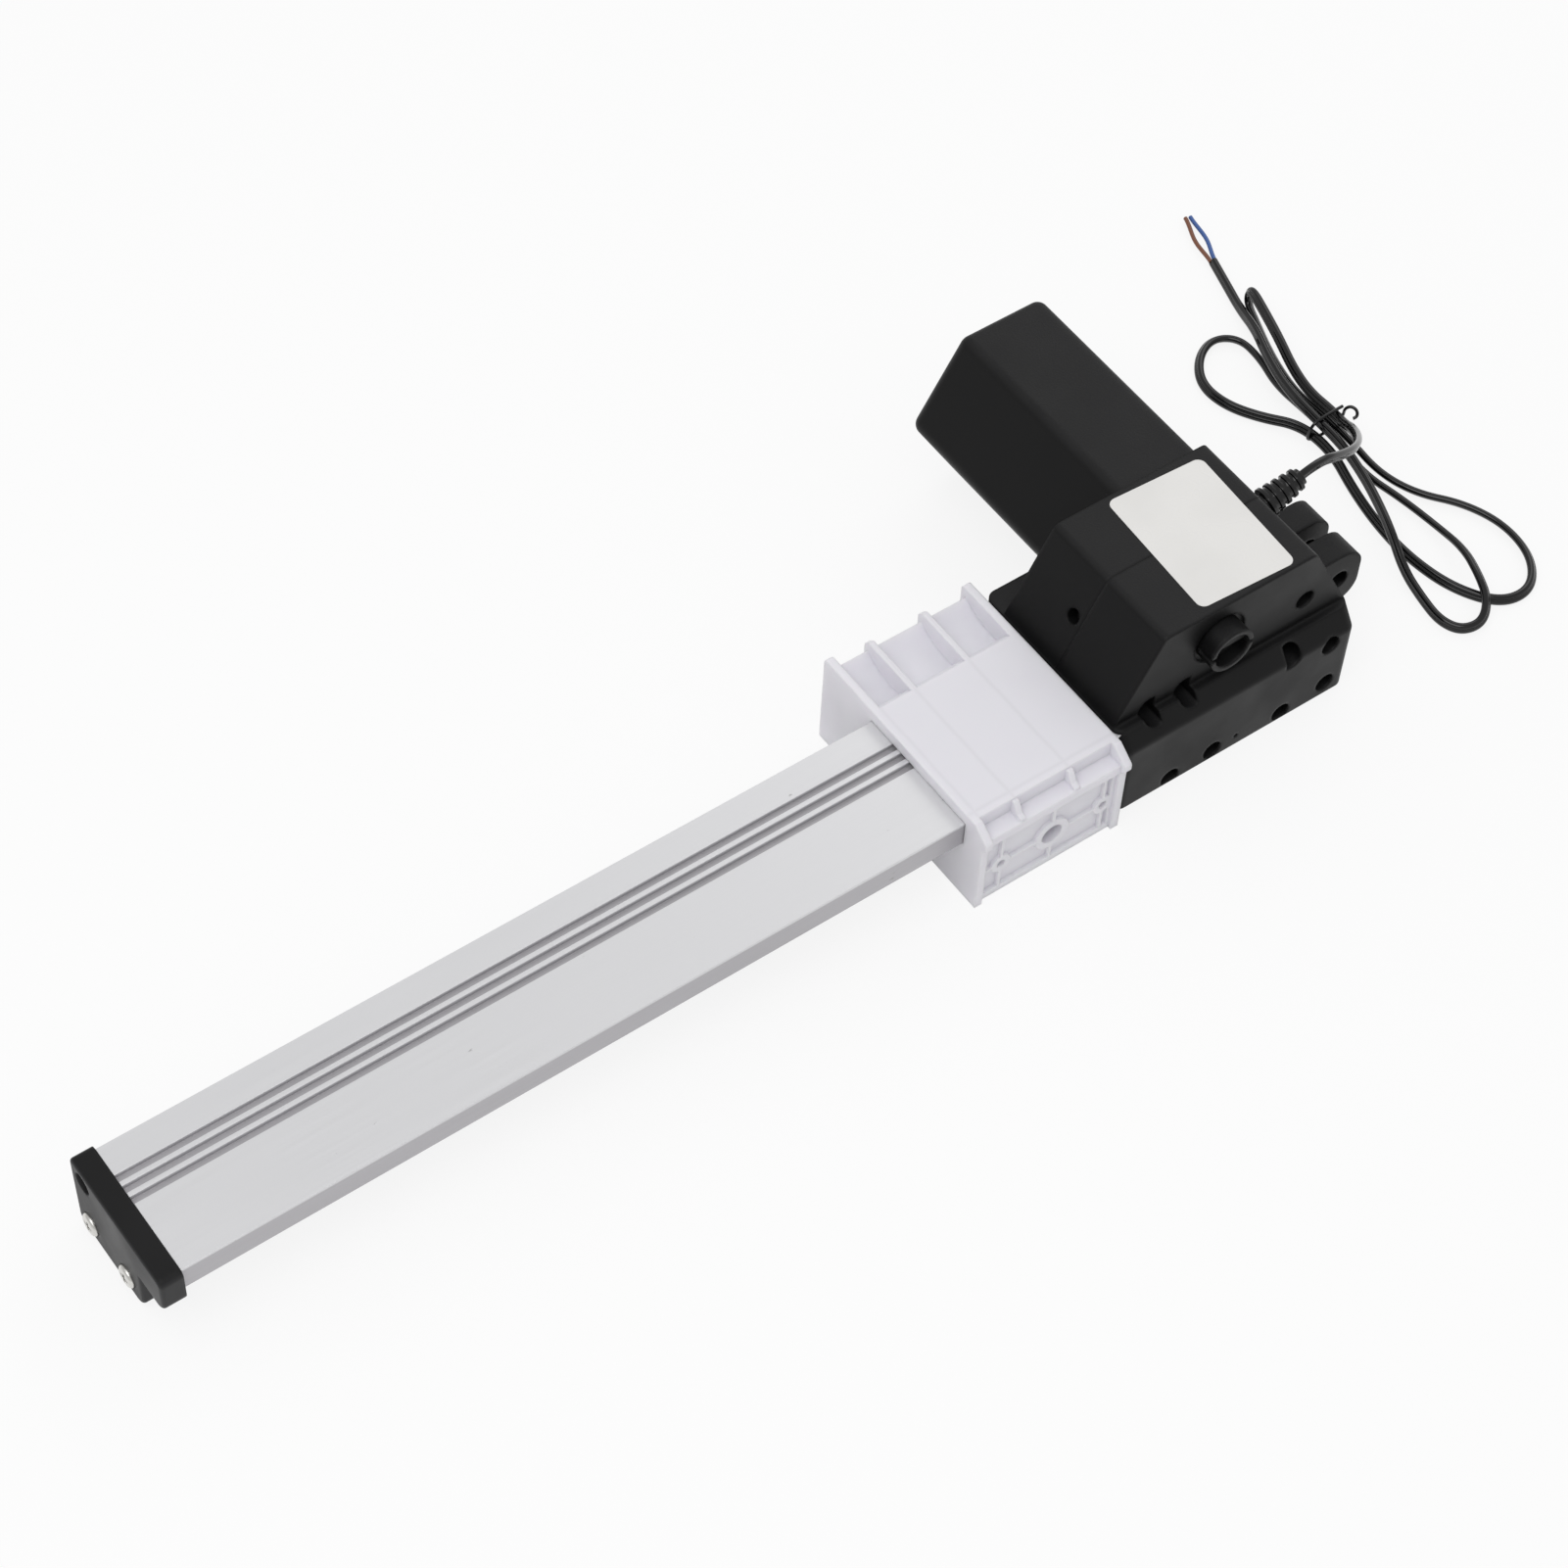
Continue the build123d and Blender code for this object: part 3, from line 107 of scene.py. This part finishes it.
def add_noise(tree, size, stretch=(1.0, 1.0, 1.0), detail=2.0):
    """A noise pattern whose grains are about size metres across, stretched per axis."""
    place = tree.nodes.new("ShaderNodeTexCoord")
    scale = tree.nodes.new("ShaderNodeMapping")
    noise = tree.nodes.new("ShaderNodeTexNoise")
    scale.inputs["Scale"].default_value = [1.0 / (size * part) for part in stretch]
    noise.inputs["Scale"].default_value = 1.0
    noise.inputs["Detail"].default_value = detail
    tree.links.new(place.outputs["Object"], scale.inputs["Vector"])
    tree.links.new(scale.outputs["Vector"], noise.inputs["Vector"])
    return noise


def add_bump(tree, shader, height, depth, strength=1.0, rounding=0.0):
    """Turn a pattern into small dents, depth metres deep, on edges that look rounded by a radius."""
    bump = tree.nodes.new("ShaderNodeBump")
    if rounding > 0:
        edge = tree.nodes.new("ShaderNodeBevel")
        edge.samples = 6
        edge.inputs["Radius"].default_value = rounding
        tree.links.new(edge.outputs["Normal"], bump.inputs["Normal"])
    bump.inputs["Distance"].default_value = depth
    bump.inputs["Strength"].default_value = strength
    tree.links.new(height, bump.inputs["Height"])
    tree.links.new(bump.outputs["Normal"], shader.inputs["Normal"])
    return bump


def add_ramp(tree, source, low, high, start=0.0, end=1.0):
    """Map a value that runs from start to end onto the range from low to high."""
    ramp = tree.nodes.new("ShaderNodeMapRange")
    ramp.inputs["From Min"].default_value = start
    ramp.inputs["From Max"].default_value = end
    ramp.inputs["To Min"].default_value = low
    ramp.inputs["To Max"].default_value = high
    tree.links.new(source, ramp.inputs["Value"])
    return ramp.outputs["Result"]


def split_vector(tree, source):
    """The three parts of a texture coordinate: "Object" gives the place, "Normal" the facing direction."""
    coordinate = tree.nodes.new("ShaderNodeTexCoord")
    parts = tree.nodes.new("ShaderNodeSeparateXYZ")
    tree.links.new(coordinate.outputs[source], parts.inputs["Vector"])
    return parts.outputs


def mix_colours(tree, share, first, second):
    """Blend two colours by a value from 0 to 1; each may be a colour or a node's output."""
    blend = tree.nodes.new("ShaderNodeMix")
    blend.data_type = "RGBA"
    tree.links.new(share, blend.inputs["Factor"])
    for name, colour in (("A", first), ("B", second)):
        if isinstance(colour, tuple):
            blend.inputs[name].default_value = (*colour, 1.0)
        else:
            tree.links.new(colour, blend.inputs[name])
    return blend.outputs["Result"]


def vary_roughness(tree, shader, pattern, low, high):
    """Let the roughness follow a noise pattern, whose values lie mostly between 0.3 and 0.7."""
    tree.links.new(add_ramp(tree, pattern, low, high, 0.3, 0.7), shader.inputs["Roughness"])


# %% [markdown]
# ## Black moulded plastic
# The gearbox and the motor cover are black glass-filled plastic. Their tops have a fine spark grain that
# scatters the light, and the sides are smoother. One material does both: the grain follows how far the
# surface faces up, and so does the colour, a greyer top and deeper black sides, which is painted light and
# shade. A broad noise makes the slightly cloudy bloom such plastic has.

# %% Make the black plastic
def facing_up(tree, low, high, start=0.55, end=0.95):
    """A value that goes from low to high as the surface turns from sideways to upwards."""
    return add_ramp(tree, split_vector(tree, "Normal")["Z"], low, high, start, end)


def grey(level, tint=1.04):
    """A dark grey, very slightly blue."""
    return (level, level, level * tint)


def make_black_plastic(name, painted_side_level, painted_top_level, top_grain, side_grain):
    """Black plastic with a level of grey and a strength of grain for its sides and for its top; the two
    greys are painted light and shade.
    """
    finish, tree, shader = start_finish(name, grey(painted_side_level), 0.46, gloss=0.20)
    grain = add_noise(tree, 0.7 * mm, detail=3.0)
    bump = add_bump(tree, shader, grain.outputs["Fac"], 0.12 * mm, rounding=1.8 * mm)
    tree.links.new(facing_up(tree, side_grain, top_grain), bump.inputs["Strength"])
    bloom = add_noise(tree, 22 * mm, detail=4.0)
    vary_roughness(tree, shader, bloom.outputs["Fac"], 0.40, 0.54)
    cloud = add_ramp(tree, bloom.outputs["Fac"], 0.0, 1.0, 0.35, 0.75)
    # Painted light and shade: sides and top get their own grey by facing, standing in for how the light
    # falls.
    side = mix_colours(tree, cloud, grey(painted_side_level), grey(painted_side_level * 1.25))
    top = mix_colours(tree, cloud, grey(painted_top_level), grey(painted_top_level * 1.3))
    tree.links.new(mix_colours(tree, facing_up(tree, 0.0, 1.0), side, top), shader.inputs["Base Color"])
    return finish


# The grey levels paint light and shade: the gearbox's top is lighter than its sides, and the end cap's top
# is darker.
black_plastic = make_black_plastic("black_grained_plastic", 0.0040, 0.0105, 0.65, 0.12)
cap_plastic = make_black_plastic("black_satin_plastic", 0.0230, 0.0080, 0.25, 0.10)
print("black plastics made")


# %% [markdown]
# ## Satin aluminium
# The rail is an extrusion with a pale anodised skin. It isn't a mirror: it is nearly white from above and
# grey from the side. A metal shader with a fairly rough surface gives its sheen, and noise stretched along X
# draws the faint lines that the die leaves. The pale top against the greyer sides and groove floors is
# painted light and shade in the colour, keyed to height, and a few dark specks are handling marks.

# %% Make the aluminium
rail_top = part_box("rail_profile")[1][2]


def make_aluminium():
    """Aluminium with die lines along X, a painted lit top over painted shaded sides and grooves, and small
    dark marks.
    """
    painted_lit_top = (0.76, 0.76, 0.775)
    painted_shaded_side = (0.48, 0.47, 0.49)
    handling_mark = (0.24, 0.23, 0.22)
    finish, tree, shader = start_finish("satin_aluminium", painted_lit_top, 0.42, metal=0.55)
    die_lines = add_noise(tree, 0.6 * mm, stretch=(90.0, 1.0, 1.0), detail=2.0)
    vary_roughness(tree, shader, die_lines.outputs["Fac"], 0.36, 0.48)
    add_bump(tree, shader, die_lines.outputs["Fac"], 0.03 * mm, 0.5, rounding=0.3 * mm)
    specks = add_noise(tree, 3.5 * mm, stretch=(1.6, 1.0, 1.0), detail=5.0)
    marked = add_ramp(tree, specks.outputs["Fac"], 0.0, 0.55, 0.735, 0.79)
    # Painted light and shade: all below the top face, the sides and groove floors, gets the darker grey.
    height = split_vector(tree, "Object")["Z"]
    lit_top_share = add_ramp(tree, height, 0.0, 1.0, rail_top - 1.2 * mm, rail_top - 0.3 * mm)
    lit_and_shaded_colour = mix_colours(tree, lit_top_share, painted_shaded_side, painted_lit_top)
    tree.links.new(mix_colours(tree, marked, lit_and_shaded_colour, handling_mark), shader.inputs["Base Color"])
    return finish


aluminium = make_aluminium()
print("aluminium made")


# %% [markdown]
# ## Milky slider plastic
# The slider is natural acetal or nylon: white, waxy and a little see-through, so light that enters it comes
# out softly somewhere else. Subsurface scattering does that. Without it the thin ribs look like painted
# card. Where a rib or wall meets the top plate from below, the plate sank a little as it cooled; the soft
# grey line on top there is painted shade.

# %% Make the slider's plastic and the small parts' finishes
slider_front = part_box("slider_body")[1][0]
rib_lines = (slider_front - 17 * mm, slider_front - 39 * mm)
flange_line = slider_front - 3 * mm
side_wall_line = 33.5 * mm
shade_line_half_width = 1.1 * mm


def add_band(tree, axis, middle_place, half_width):
    """A soft line across the surface: 1 in the middle, falling to 0 at half_width metres to each side."""
    away = tree.nodes.new("ShaderNodeMath")
    away.operation = "SUBTRACT"
    away.inputs[1].default_value = middle_place
    tree.links.new(split_vector(tree, "Object")[axis], away.inputs[0])
    distance = tree.nodes.new("ShaderNodeMath")
    distance.operation = "ABSOLUTE"
    tree.links.new(away.outputs[0], distance.inputs[0])
    return add_ramp(tree, distance.outputs[0], 1.0, 0.0, 0.0, half_width)


def join_values(tree, operation, first, second):
    """Combine two values by one operation of the Math node."""
    joined = tree.nodes.new("ShaderNodeMath")
    joined.operation = operation
    tree.links.new(first, joined.inputs[0])
    tree.links.new(second, joined.inputs[1])
    return joined.outputs[0]


def make_milky_plastic():
    """Waxy white plastic that lets light in, with soft lines of painted shade on its upper face over the
    sinks.
    """
    milk = (0.80, 0.79, 0.835)
    shade = (0.73, 0.72, 0.76)
    finish, tree, shader = start_finish("milky_plastic", milk, 0.34, gloss=0.5)
    shader.inputs["Subsurface Weight"].default_value = 0.6
    shader.inputs["Subsurface Radius"].default_value = (3.2 * mm, 2.9 * mm, 3.1 * mm)
    shader.inputs["Subsurface Scale"].default_value = 1.0
    cloud = add_noise(tree, 9 * mm, detail=3.0)
    vary_roughness(tree, shader, cloud.outputs["Fac"], 0.28, 0.42)
    # Painted shade: soft grey lines on the upward faces above the ribs and walls below.
    painted_shade_lines = add_band(tree, "Y", side_wall_line, shade_line_half_width)
    for where in (*rib_lines, flange_line):
        painted_shade_lines = join_values(tree, "MAXIMUM", painted_shade_lines, add_band(tree, "X", where, shade_line_half_width))
    painted_shade_lines = join_values(tree, "MULTIPLY", painted_shade_lines, facing_up(tree, 0.0, 0.6, 0.9, 0.99))
    tree.links.new(mix_colours(tree, painted_shade_lines, milk, shade), shader.inputs["Base Color"])
    add_bump(tree, shader, cloud.outputs["Fac"], 0.3 * mm, 0.35, rounding=0.8 * mm)
    return finish


def make_plain(name, colour, roughness, metal=0.0, gloss=0.5, grain=0.02 * mm, grain_size=0.9 * mm):
    """A finish with a fine grain, and broader patches that are a little darker and rougher."""
    finish, tree, shader = start_finish(name, colour, roughness, metal, gloss)
    noise = add_noise(tree, grain_size, detail=3.0)
    add_bump(tree, shader, noise.outputs["Fac"], grain)
    patches = add_noise(tree, grain_size * 9, detail=3.0)
    vary_roughness(tree, shader, patches.outputs["Fac"], roughness * 0.85, roughness * 1.2)
    share = add_ramp(tree, patches.outputs["Fac"], 0.0, 1.0, 0.35, 0.75)
    darker = tuple(part * 0.93 for part in colour)
    tree.links.new(mix_colours(tree, share, colour, darker), shader.inputs["Base Color"])
    return finish


milky_plastic = make_milky_plastic()
slot_finishes = {
    "screw_steel": make_plain("zinc_plated_steel", (0.72, 0.71, 0.68), 0.30, metal=0.95),
    "spindle_steel": make_plain("machined_steel", (0.56, 0.56, 0.57), 0.28, metal=1.0),
    "bearing_steel": make_plain("ground_steel", (0.62, 0.62, 0.63), 0.22, metal=1.0),
    "flange_metal": make_plain("zinc_metal", (0.42, 0.42, 0.43), 0.38, metal=0.9),
    "bush_plastic": make_plain("cream_plastic", (0.74, 0.71, 0.62), 0.42),
    "board_green": make_plain("board_lacquer", (0.02, 0.16, 0.05), 0.30),
    "switch_black": make_plain("switch_plastic", (0.02, 0.02, 0.02), 0.40),
    "armature_iron": make_plain("sheet_iron", (0.30, 0.29, 0.28), 0.40, metal=0.9),
    "commutator_copper": make_plain("turned_copper", (0.72, 0.40, 0.25), 0.30, metal=1.0),
    "magnet_dark": make_plain("magnet", (0.09, 0.09, 0.09), 0.60, grain=0.08 * mm),
    "brush_carbon": make_plain("pressed_carbon", (0.05, 0.05, 0.05), 0.70, grain=0.08 * mm),
    "gasket_rubber": make_plain("gasket", (0.03, 0.03, 0.03), 0.70),
    "label_white": make_plain("label_film", (0.80, 0.79, 0.77), 0.30, grain_size=4 * mm),
    "cord_black": make_plain("cord_vinyl", (0.003, 0.003, 0.0033), 0.14, grain=0.01 * mm, grain_size=3 * mm),
    "wire_blue_cover": make_plain("blue_vinyl", (0.05, 0.12, 0.36), 0.40),
    "wire_brown_cover": make_plain("brown_vinyl", (0.20, 0.075, 0.04), 0.42),
    "milky_plastic": milky_plastic,
    "black_plastic": black_plastic,
    "rail_aluminium": aluminium,
}
print("finishes:", len(slot_finishes))


# %% [markdown]
# ## Give every solid its finish
# The record of the model says which slot each node belongs to, so the finishes are handed out by slot. The
# end cap is the same plastic as the gearbox but smoother, so it is set on its own.

# %% Hand out the finishes
slot_of = {entry["node"]: entry["material_slot"] for entry in frame["record"]["subparts"]}


def wear(piece, finish):
    """Give a piece this finish alone."""
    piece.data.materials.clear()
    piece.data.materials.append(finish)


for node_name, node in nodes.items():
    wear(node, slot_finishes[slot_of[node_name]])
wear(nodes["end_cap"], cap_plastic)
print("finished nodes:", len(nodes))


# %% [markdown]
# ## Softened edges
# No moulded or extruded edge is razor sharp, and it is the thin bright line along an edge that tells the
# eye how big a thing is. A CAD node's mesh is loose triangles, so a copy is merged and its flat faces are
# joined, and then a Bevel modifier takes the sharp edges off, as far as the smallest detail leaves room. The
# finishes round the look of the edges further. The copy stands in for the node.

# %% A copy with softened edges
merge_distance = 0.004 * mm
flat_angle = math.radians(0.6)
bevel_angle = math.radians(32)
smooth_angle = math.radians(38)
plain_smooth_angle = math.radians(35)


def choose_only(piece):
    """Select one piece and make it the active one."""
    bpy.ops.object.select_all(action="DESELECT")
    piece.select_set(True)
    bpy.context.view_layer.objects.active = piece


def body_name(node_name):
    """The moving body that a node belongs to, from the record of the model."""
    for name, members in frame["record"]["behaviour"]["bodies"].items():
        if node_name in members:
            return name
    return None


def even_shading(piece):
    """Shade smooth, with the large flat faces deciding the normals at their borders."""
    choose_only(piece)
    bpy.ops.object.shade_smooth_by_angle(angle=smooth_angle)
    weights = piece.modifiers.new("even shading", "WEIGHTED_NORMAL")
    weights.mode = "FACE_AREA"
    weights.weight = 60
    weights.keep_sharp = True
    bpy.ops.object.modifier_apply(modifier=weights.name)


def soften(node_name, piece_name, width):
    """Copy a node's mesh, merge it, bevel its sharp edges by width and let it stand in for the node."""
    source = nodes[node_name]
    piece = bpy.data.objects.new(piece_name, source.data.copy())
    bpy.context.scene.collection.objects.link(piece)
    choose_only(piece)
    bpy.ops.object.mode_set(mode="EDIT")
    bpy.ops.mesh.select_all(action="SELECT")
    bpy.ops.mesh.remove_doubles(threshold=merge_distance)
    bpy.ops.mesh.dissolve_limited(angle_limit=flat_angle)
    bpy.ops.object.mode_set(mode="OBJECT")
    edge = piece.modifiers.new("soft edge", "BEVEL")
    edge.width = width
    edge.segments = 2
    edge.limit_method = "ANGLE"
    edge.angle_limit = bevel_angle
    bpy.ops.object.modifier_apply(modifier=edge.name)
    even_shading(piece)
    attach(piece, body_name(node_name))
    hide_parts(node_name)
    print(piece_name, "faces", len(piece.data.polygons))
    return piece


soft_pieces = [
    ("slider_body", "slider_moulding", 0.60 * mm),
    ("gearbox_shell_near", "gearbox_near_half", 0.60 * mm),
    ("gearbox_shell_motor_side", "gearbox_motor_half", 0.60 * mm),
    ("rail_profile", "rail_extrusion", 0.20 * mm),
    ("end_cap", "rail_end_cap", 0.50 * mm),
    ("access_plug", "plug_tube", 0.35 * mm),
    ("strain_relief", "cord_sleeve", 0.25 * mm),
    ("end_cap_screws", "cap_screw_pair", 0.15 * mm),
    ("label_plate", "blank_label", 0.05 * mm),
]
dressed = {node_name: soften(node_name, piece_name, width) for node_name, piece_name, width in soft_pieces}
for node_name, node in nodes.items():
    if node_name not in dressed:
        choose_only(node)
        bpy.ops.object.shade_smooth_by_angle(angle=plain_smooth_angle)


# %% [markdown]
# ## The cord
# The cord is a flat twin flex, 3.9 mm wide and 2.6 mm thick, folded and looped as it was packed and held
# by a twist of wire. A flex keeps its length and lies on the table, so it is drawn as one smooth NURBS
# line by the same points as the CAD model's, and a two-lobed section is swept along it.

# %% The cord's route in millimetres
floor_level = -20.0
cord_radius = 1.8
lie = floor_level + cord_radius
tied = lie + 1.5
second = lie + 4.8
top_strand = second + 1.0
fold = lie + 8.0
cord_route = [
    (4.422, -8.2, 35.562), (-3.7, -8.2, 38.2), (-15.5, -10.0, 31.5), (-27.5, -14.5, 23.5),
    (-39.5, -24.0, 12.0), (-51.1, -36.9, -2.0), (-56.2, -46.0, -10.6), (-57.9, -54.0, -12.4),
    (-57.8, -66.0, second), (-59.3, -77.4, lie + 6.2), (-63.2, -90.1, fold), (-66.8, -101.3, fold),
    (-71.3, -116.5, fold), (-71.3, -116.5, lie), (-67.6, -107.0, lie), (-63.6, -97.0, lie),
    (-59.8, -85.0, lie), (-57.4, -72.0, lie), (-57.2, -58.0, tied), (-57.4, -43.0, tied),
    (-56.8, -26.0, lie), (-61.5, -11.0, lie), (-72.5, 2.0, lie), (-78.0, 18.0, lie), (-75.5, 34.5, lie),
    (-65.5, 45.0, lie), (-52.5, 43.5, lie), (-43.0, 29.0, lie), (-39.5, 10.0, lie), (-40.5, -8.0, lie),
    (-44.0, -25.5, lie), (-48.4, -42.0, tied), (-47.3, -58.0, tied), (-38.5, -70.0, lie),
    (-31.8, -82.0, lie), (-31.0, -94.5, lie), (-38.5, -105.0, lie), (-48.8, -109.5, lie),
    (-57.2, -104.0, lie), (-57.2, -92.0, lie), (-53.4, -78.0, lie), (-53.3, -61.0, tied),
    (-53.2, -44.0, tied), (-52.0, -28.0, lie), (-55.5, -12.0, lie), (-57.5, 5.0, lie),
    (-55.0, 20.5, second), (-50.5, 33.0, top_strand), (-47.5, 41.5, lie + 3.5),
    (-40.8, 47.0, lie + 1.0), (-33.0, 45.0, lie), (-29.6, 37.5, lie), (-31.0, 27.0, lie),
    (-33.5, 14.0, lie + 1.0), (-38.0, 1.0, top_strand), (-43.0, -11.5, top_strand),
    (-47.4, -25.0, top_strand), (-50.6, -40.0, top_strand), (-50.8, -56.0, top_strand),
    (-51.5, -72.0, top_strand), (-55.5, -87.0, top_strand), (-61.5, -101.0, second),
    (-66.5, -115.0, lie + 0.5), (-70.5, -127.5, lie), (-74.0, -139.5, lie),
]


# %% Sweep a section along a smooth line
def flat_section(name, lobe, offset, steps=14):
    """A closed two-lobed outline: two circles of radius lobe, offset to both sides of the middle."""
    waist = math.acos(offset / lobe)
    points = []
    for side, middle_angle in ((1, 0.0), (-1, math.pi)):
        for step in range(steps + 1):
            angle = middle_angle - (math.pi - waist) + 2 * (math.pi - waist) * step / steps
            points.append((side * offset + lobe * math.cos(angle), lobe * math.sin(angle), 0.0))
    outline = bpy.data.curves.new(name, "CURVE")
    outline.dimensions = "2D"
    spline = outline.splines.new("POLY")
    spline.points.add(len(points) - 1)
    for point, place in zip(spline.points, points):
        point.co = (*place, 1.0)
    spline.use_cyclic_u = True
    shape = bpy.data.objects.new(name, outline)
    bpy.context.scene.collection.objects.link(shape)
    shape.hide_render = True
    shape.hide_viewport = True
    return shape


def smooth_line(name, route, finish, tilt=0.0):
    """A NURBS line by a route's points in millimetres; its section is given by the caller."""
    line = bpy.data.curves.new(name, "CURVE")
    line.dimensions = "3D"
    line.resolution_u = 10
    spline = line.splines.new("NURBS")
    spline.points.add(len(route) - 1)
    for point, place in zip(spline.points, route):
        point.co = (place[0] * mm, place[1] * mm, place[2] * mm, 1.0)
        point.tilt = tilt
    spline.order_u = 3
    spline.use_endpoint_u = True
    line.twist_mode = "MINIMUM"
    line.use_fill_caps = True
    line.materials.append(finish)
    piece = bpy.data.objects.new(name, line)
    bpy.context.scene.collection.objects.link(piece)
    return piece


lobe_radius = 1.3 * mm
lobe_offset = 0.65 * mm
twin_section = flat_section("twin_section", lobe_radius, lobe_offset)
flex = smooth_line("twin_flex", cord_route, slot_finishes["cord_black"], tilt=math.radians(90))
flex.data.bevel_mode = "OBJECT"
flex.data.bevel_object = twin_section
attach(flex, "base")
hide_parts("power_cord")


# %% [markdown]
# ## The tie
# The twist tie is a thin coated wire bent round the bundle once, its ends curled up. The cord's two cores
# are bared at the far end and bow apart a little, one blue and one brown; they stay as the model's pieces.

# %% Bend the tie
tie_radius = 0.6
tie_y = -52.0
tie_low = floor_level + tie_radius + 0.05
tie_ring = [
    (-60.4, tie_y, -9.2), (-49.0, tie_y, -9.2), (-45.6, tie_y, -12.6), (-45.2, tie_y, tie_low),
    (-60.3, tie_y, tie_low), (-61.8, tie_y, -14.0), (-61.2, tie_y + 0.6, -10.4), (-62.8, tie_y + 1.8, -9.0),
    (-63.8, tie_y + 4.2, -9.6), (-63.0, tie_y + 5.6, -11.6), (-61.6, tie_y + 4.9, -12.0),
]
tie = smooth_line("twist_tie", tie_ring, slot_finishes["cord_black"])
tie.data.bevel_depth = tie_radius * mm
tie.data.bevel_resolution = 3
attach(tie, "base")
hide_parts("cord_tie")


# %% [markdown]
# ## Floor, sky and lamps
# A product photograph has a white ground and soft light from large panels overhead. The floor here is white
# to the camera and still keeps a faint shadow. Most of the light is an even sky, so that a colour renders
# about as it is written. One wide panel hangs above the front end, away from where the rail's top would
# mirror it to the camera, and a weak one behind the motor lights the far edges.

# %% Lay the floor
floor_drop = 0.2


def add_background_glow(tree, surface, share):
    """Mix a plain white glow into a surface, for what the camera and mirrors see."""
    path = tree.nodes.new("ShaderNodeLightPath")
    seen = tree.nodes.new("ShaderNodeMath")
    seen.operation = "MAXIMUM"
    tree.links.new(path.outputs["Is Camera Ray"], seen.inputs[0])
    tree.links.new(path.outputs["Is Glossy Ray"], seen.inputs[1])
    amount = tree.nodes.new("ShaderNodeMath")
    amount.operation = "MULTIPLY"
    amount.inputs[1].default_value = share
    tree.links.new(seen.outputs[0], amount.inputs[0])
    glow = tree.nodes.new("ShaderNodeEmission")
    glow.inputs["Color"].default_value = (1.0, 1.0, 1.0, 1.0)
    mix = tree.nodes.new("ShaderNodeMixShader")
    tree.links.new(amount.outputs[0], mix.inputs["Fac"])
    tree.links.new(surface, mix.inputs[1])
    tree.links.new(glow.outputs[0], mix.inputs[2])
    return mix


bpy.ops.object.select_all(action="DESELECT")
bpy.ops.mesh.primitive_plane_add(size=6.0, location=(0.2, 0.0, (floor_level - floor_drop) * mm))
floor = bpy.context.object
floor.name = "studio_floor"
floor_finish, floor_tree, floor_shader = start_finish("floor_white", (0.90, 0.90, 0.90), 0.9, gloss=0.1)
floor_mix = add_background_glow(floor_tree, floor_shader.outputs[0], 0.85)
floor_output = floor_tree.nodes["Material Output"]
floor_tree.links.new(floor_mix.outputs[0], floor_output.inputs["Surface"])
wear(floor, floor_finish)


# %% Hang the lamps
def hang_panel(name, place, target, width, height, power):
    """Hang a rectangular lamp at a place, turned to a target."""
    bpy.ops.object.select_all(action="DESELECT")
    bpy.ops.object.light_add(type="AREA", location=place)
    panel = bpy.context.object
    panel.name = name
    panel.data.shape = "RECTANGLE"
    panel.data.size = width
    panel.data.size_y = height
    panel.data.energy = power
    direction = Vector(target) - Vector(place)
    panel.rotation_euler = direction.to_track_quat("-Z", "Y").to_euler()
    return panel


middle = (0.18, -0.02, 0.0)
hang_panel("top_panel", (0.75, 0.25, 1.30), middle, 1.1, 0.9, 6.5)
hang_panel("back_panel", (-0.70, -0.60, 0.90), middle, 0.9, 0.7, 2.0)

sky = bpy.context.scene.world or bpy.data.worlds.new("studio")
bpy.context.scene.world = sky
sky.use_nodes = True
sky_tree = sky.node_tree
sky_background = sky_tree.nodes["Background"]
sky_background.inputs["Color"].default_value = (1.0, 1.0, 1.0, 1.0)
sky_path = sky_tree.nodes.new("ShaderNodeLightPath")
sky_level = sky_tree.nodes.new("ShaderNodeMapRange")
sky_level.inputs["To Min"].default_value = 0.62
sky_level.inputs["To Max"].default_value = 1.0
sky_tree.links.new(sky_path.outputs["Is Camera Ray"], sky_level.inputs["Value"])
sky_tree.links.new(sky_level.outputs["Result"], sky_background.inputs["Strength"])
bpy.context.scene.view_settings.view_transform = "Standard"
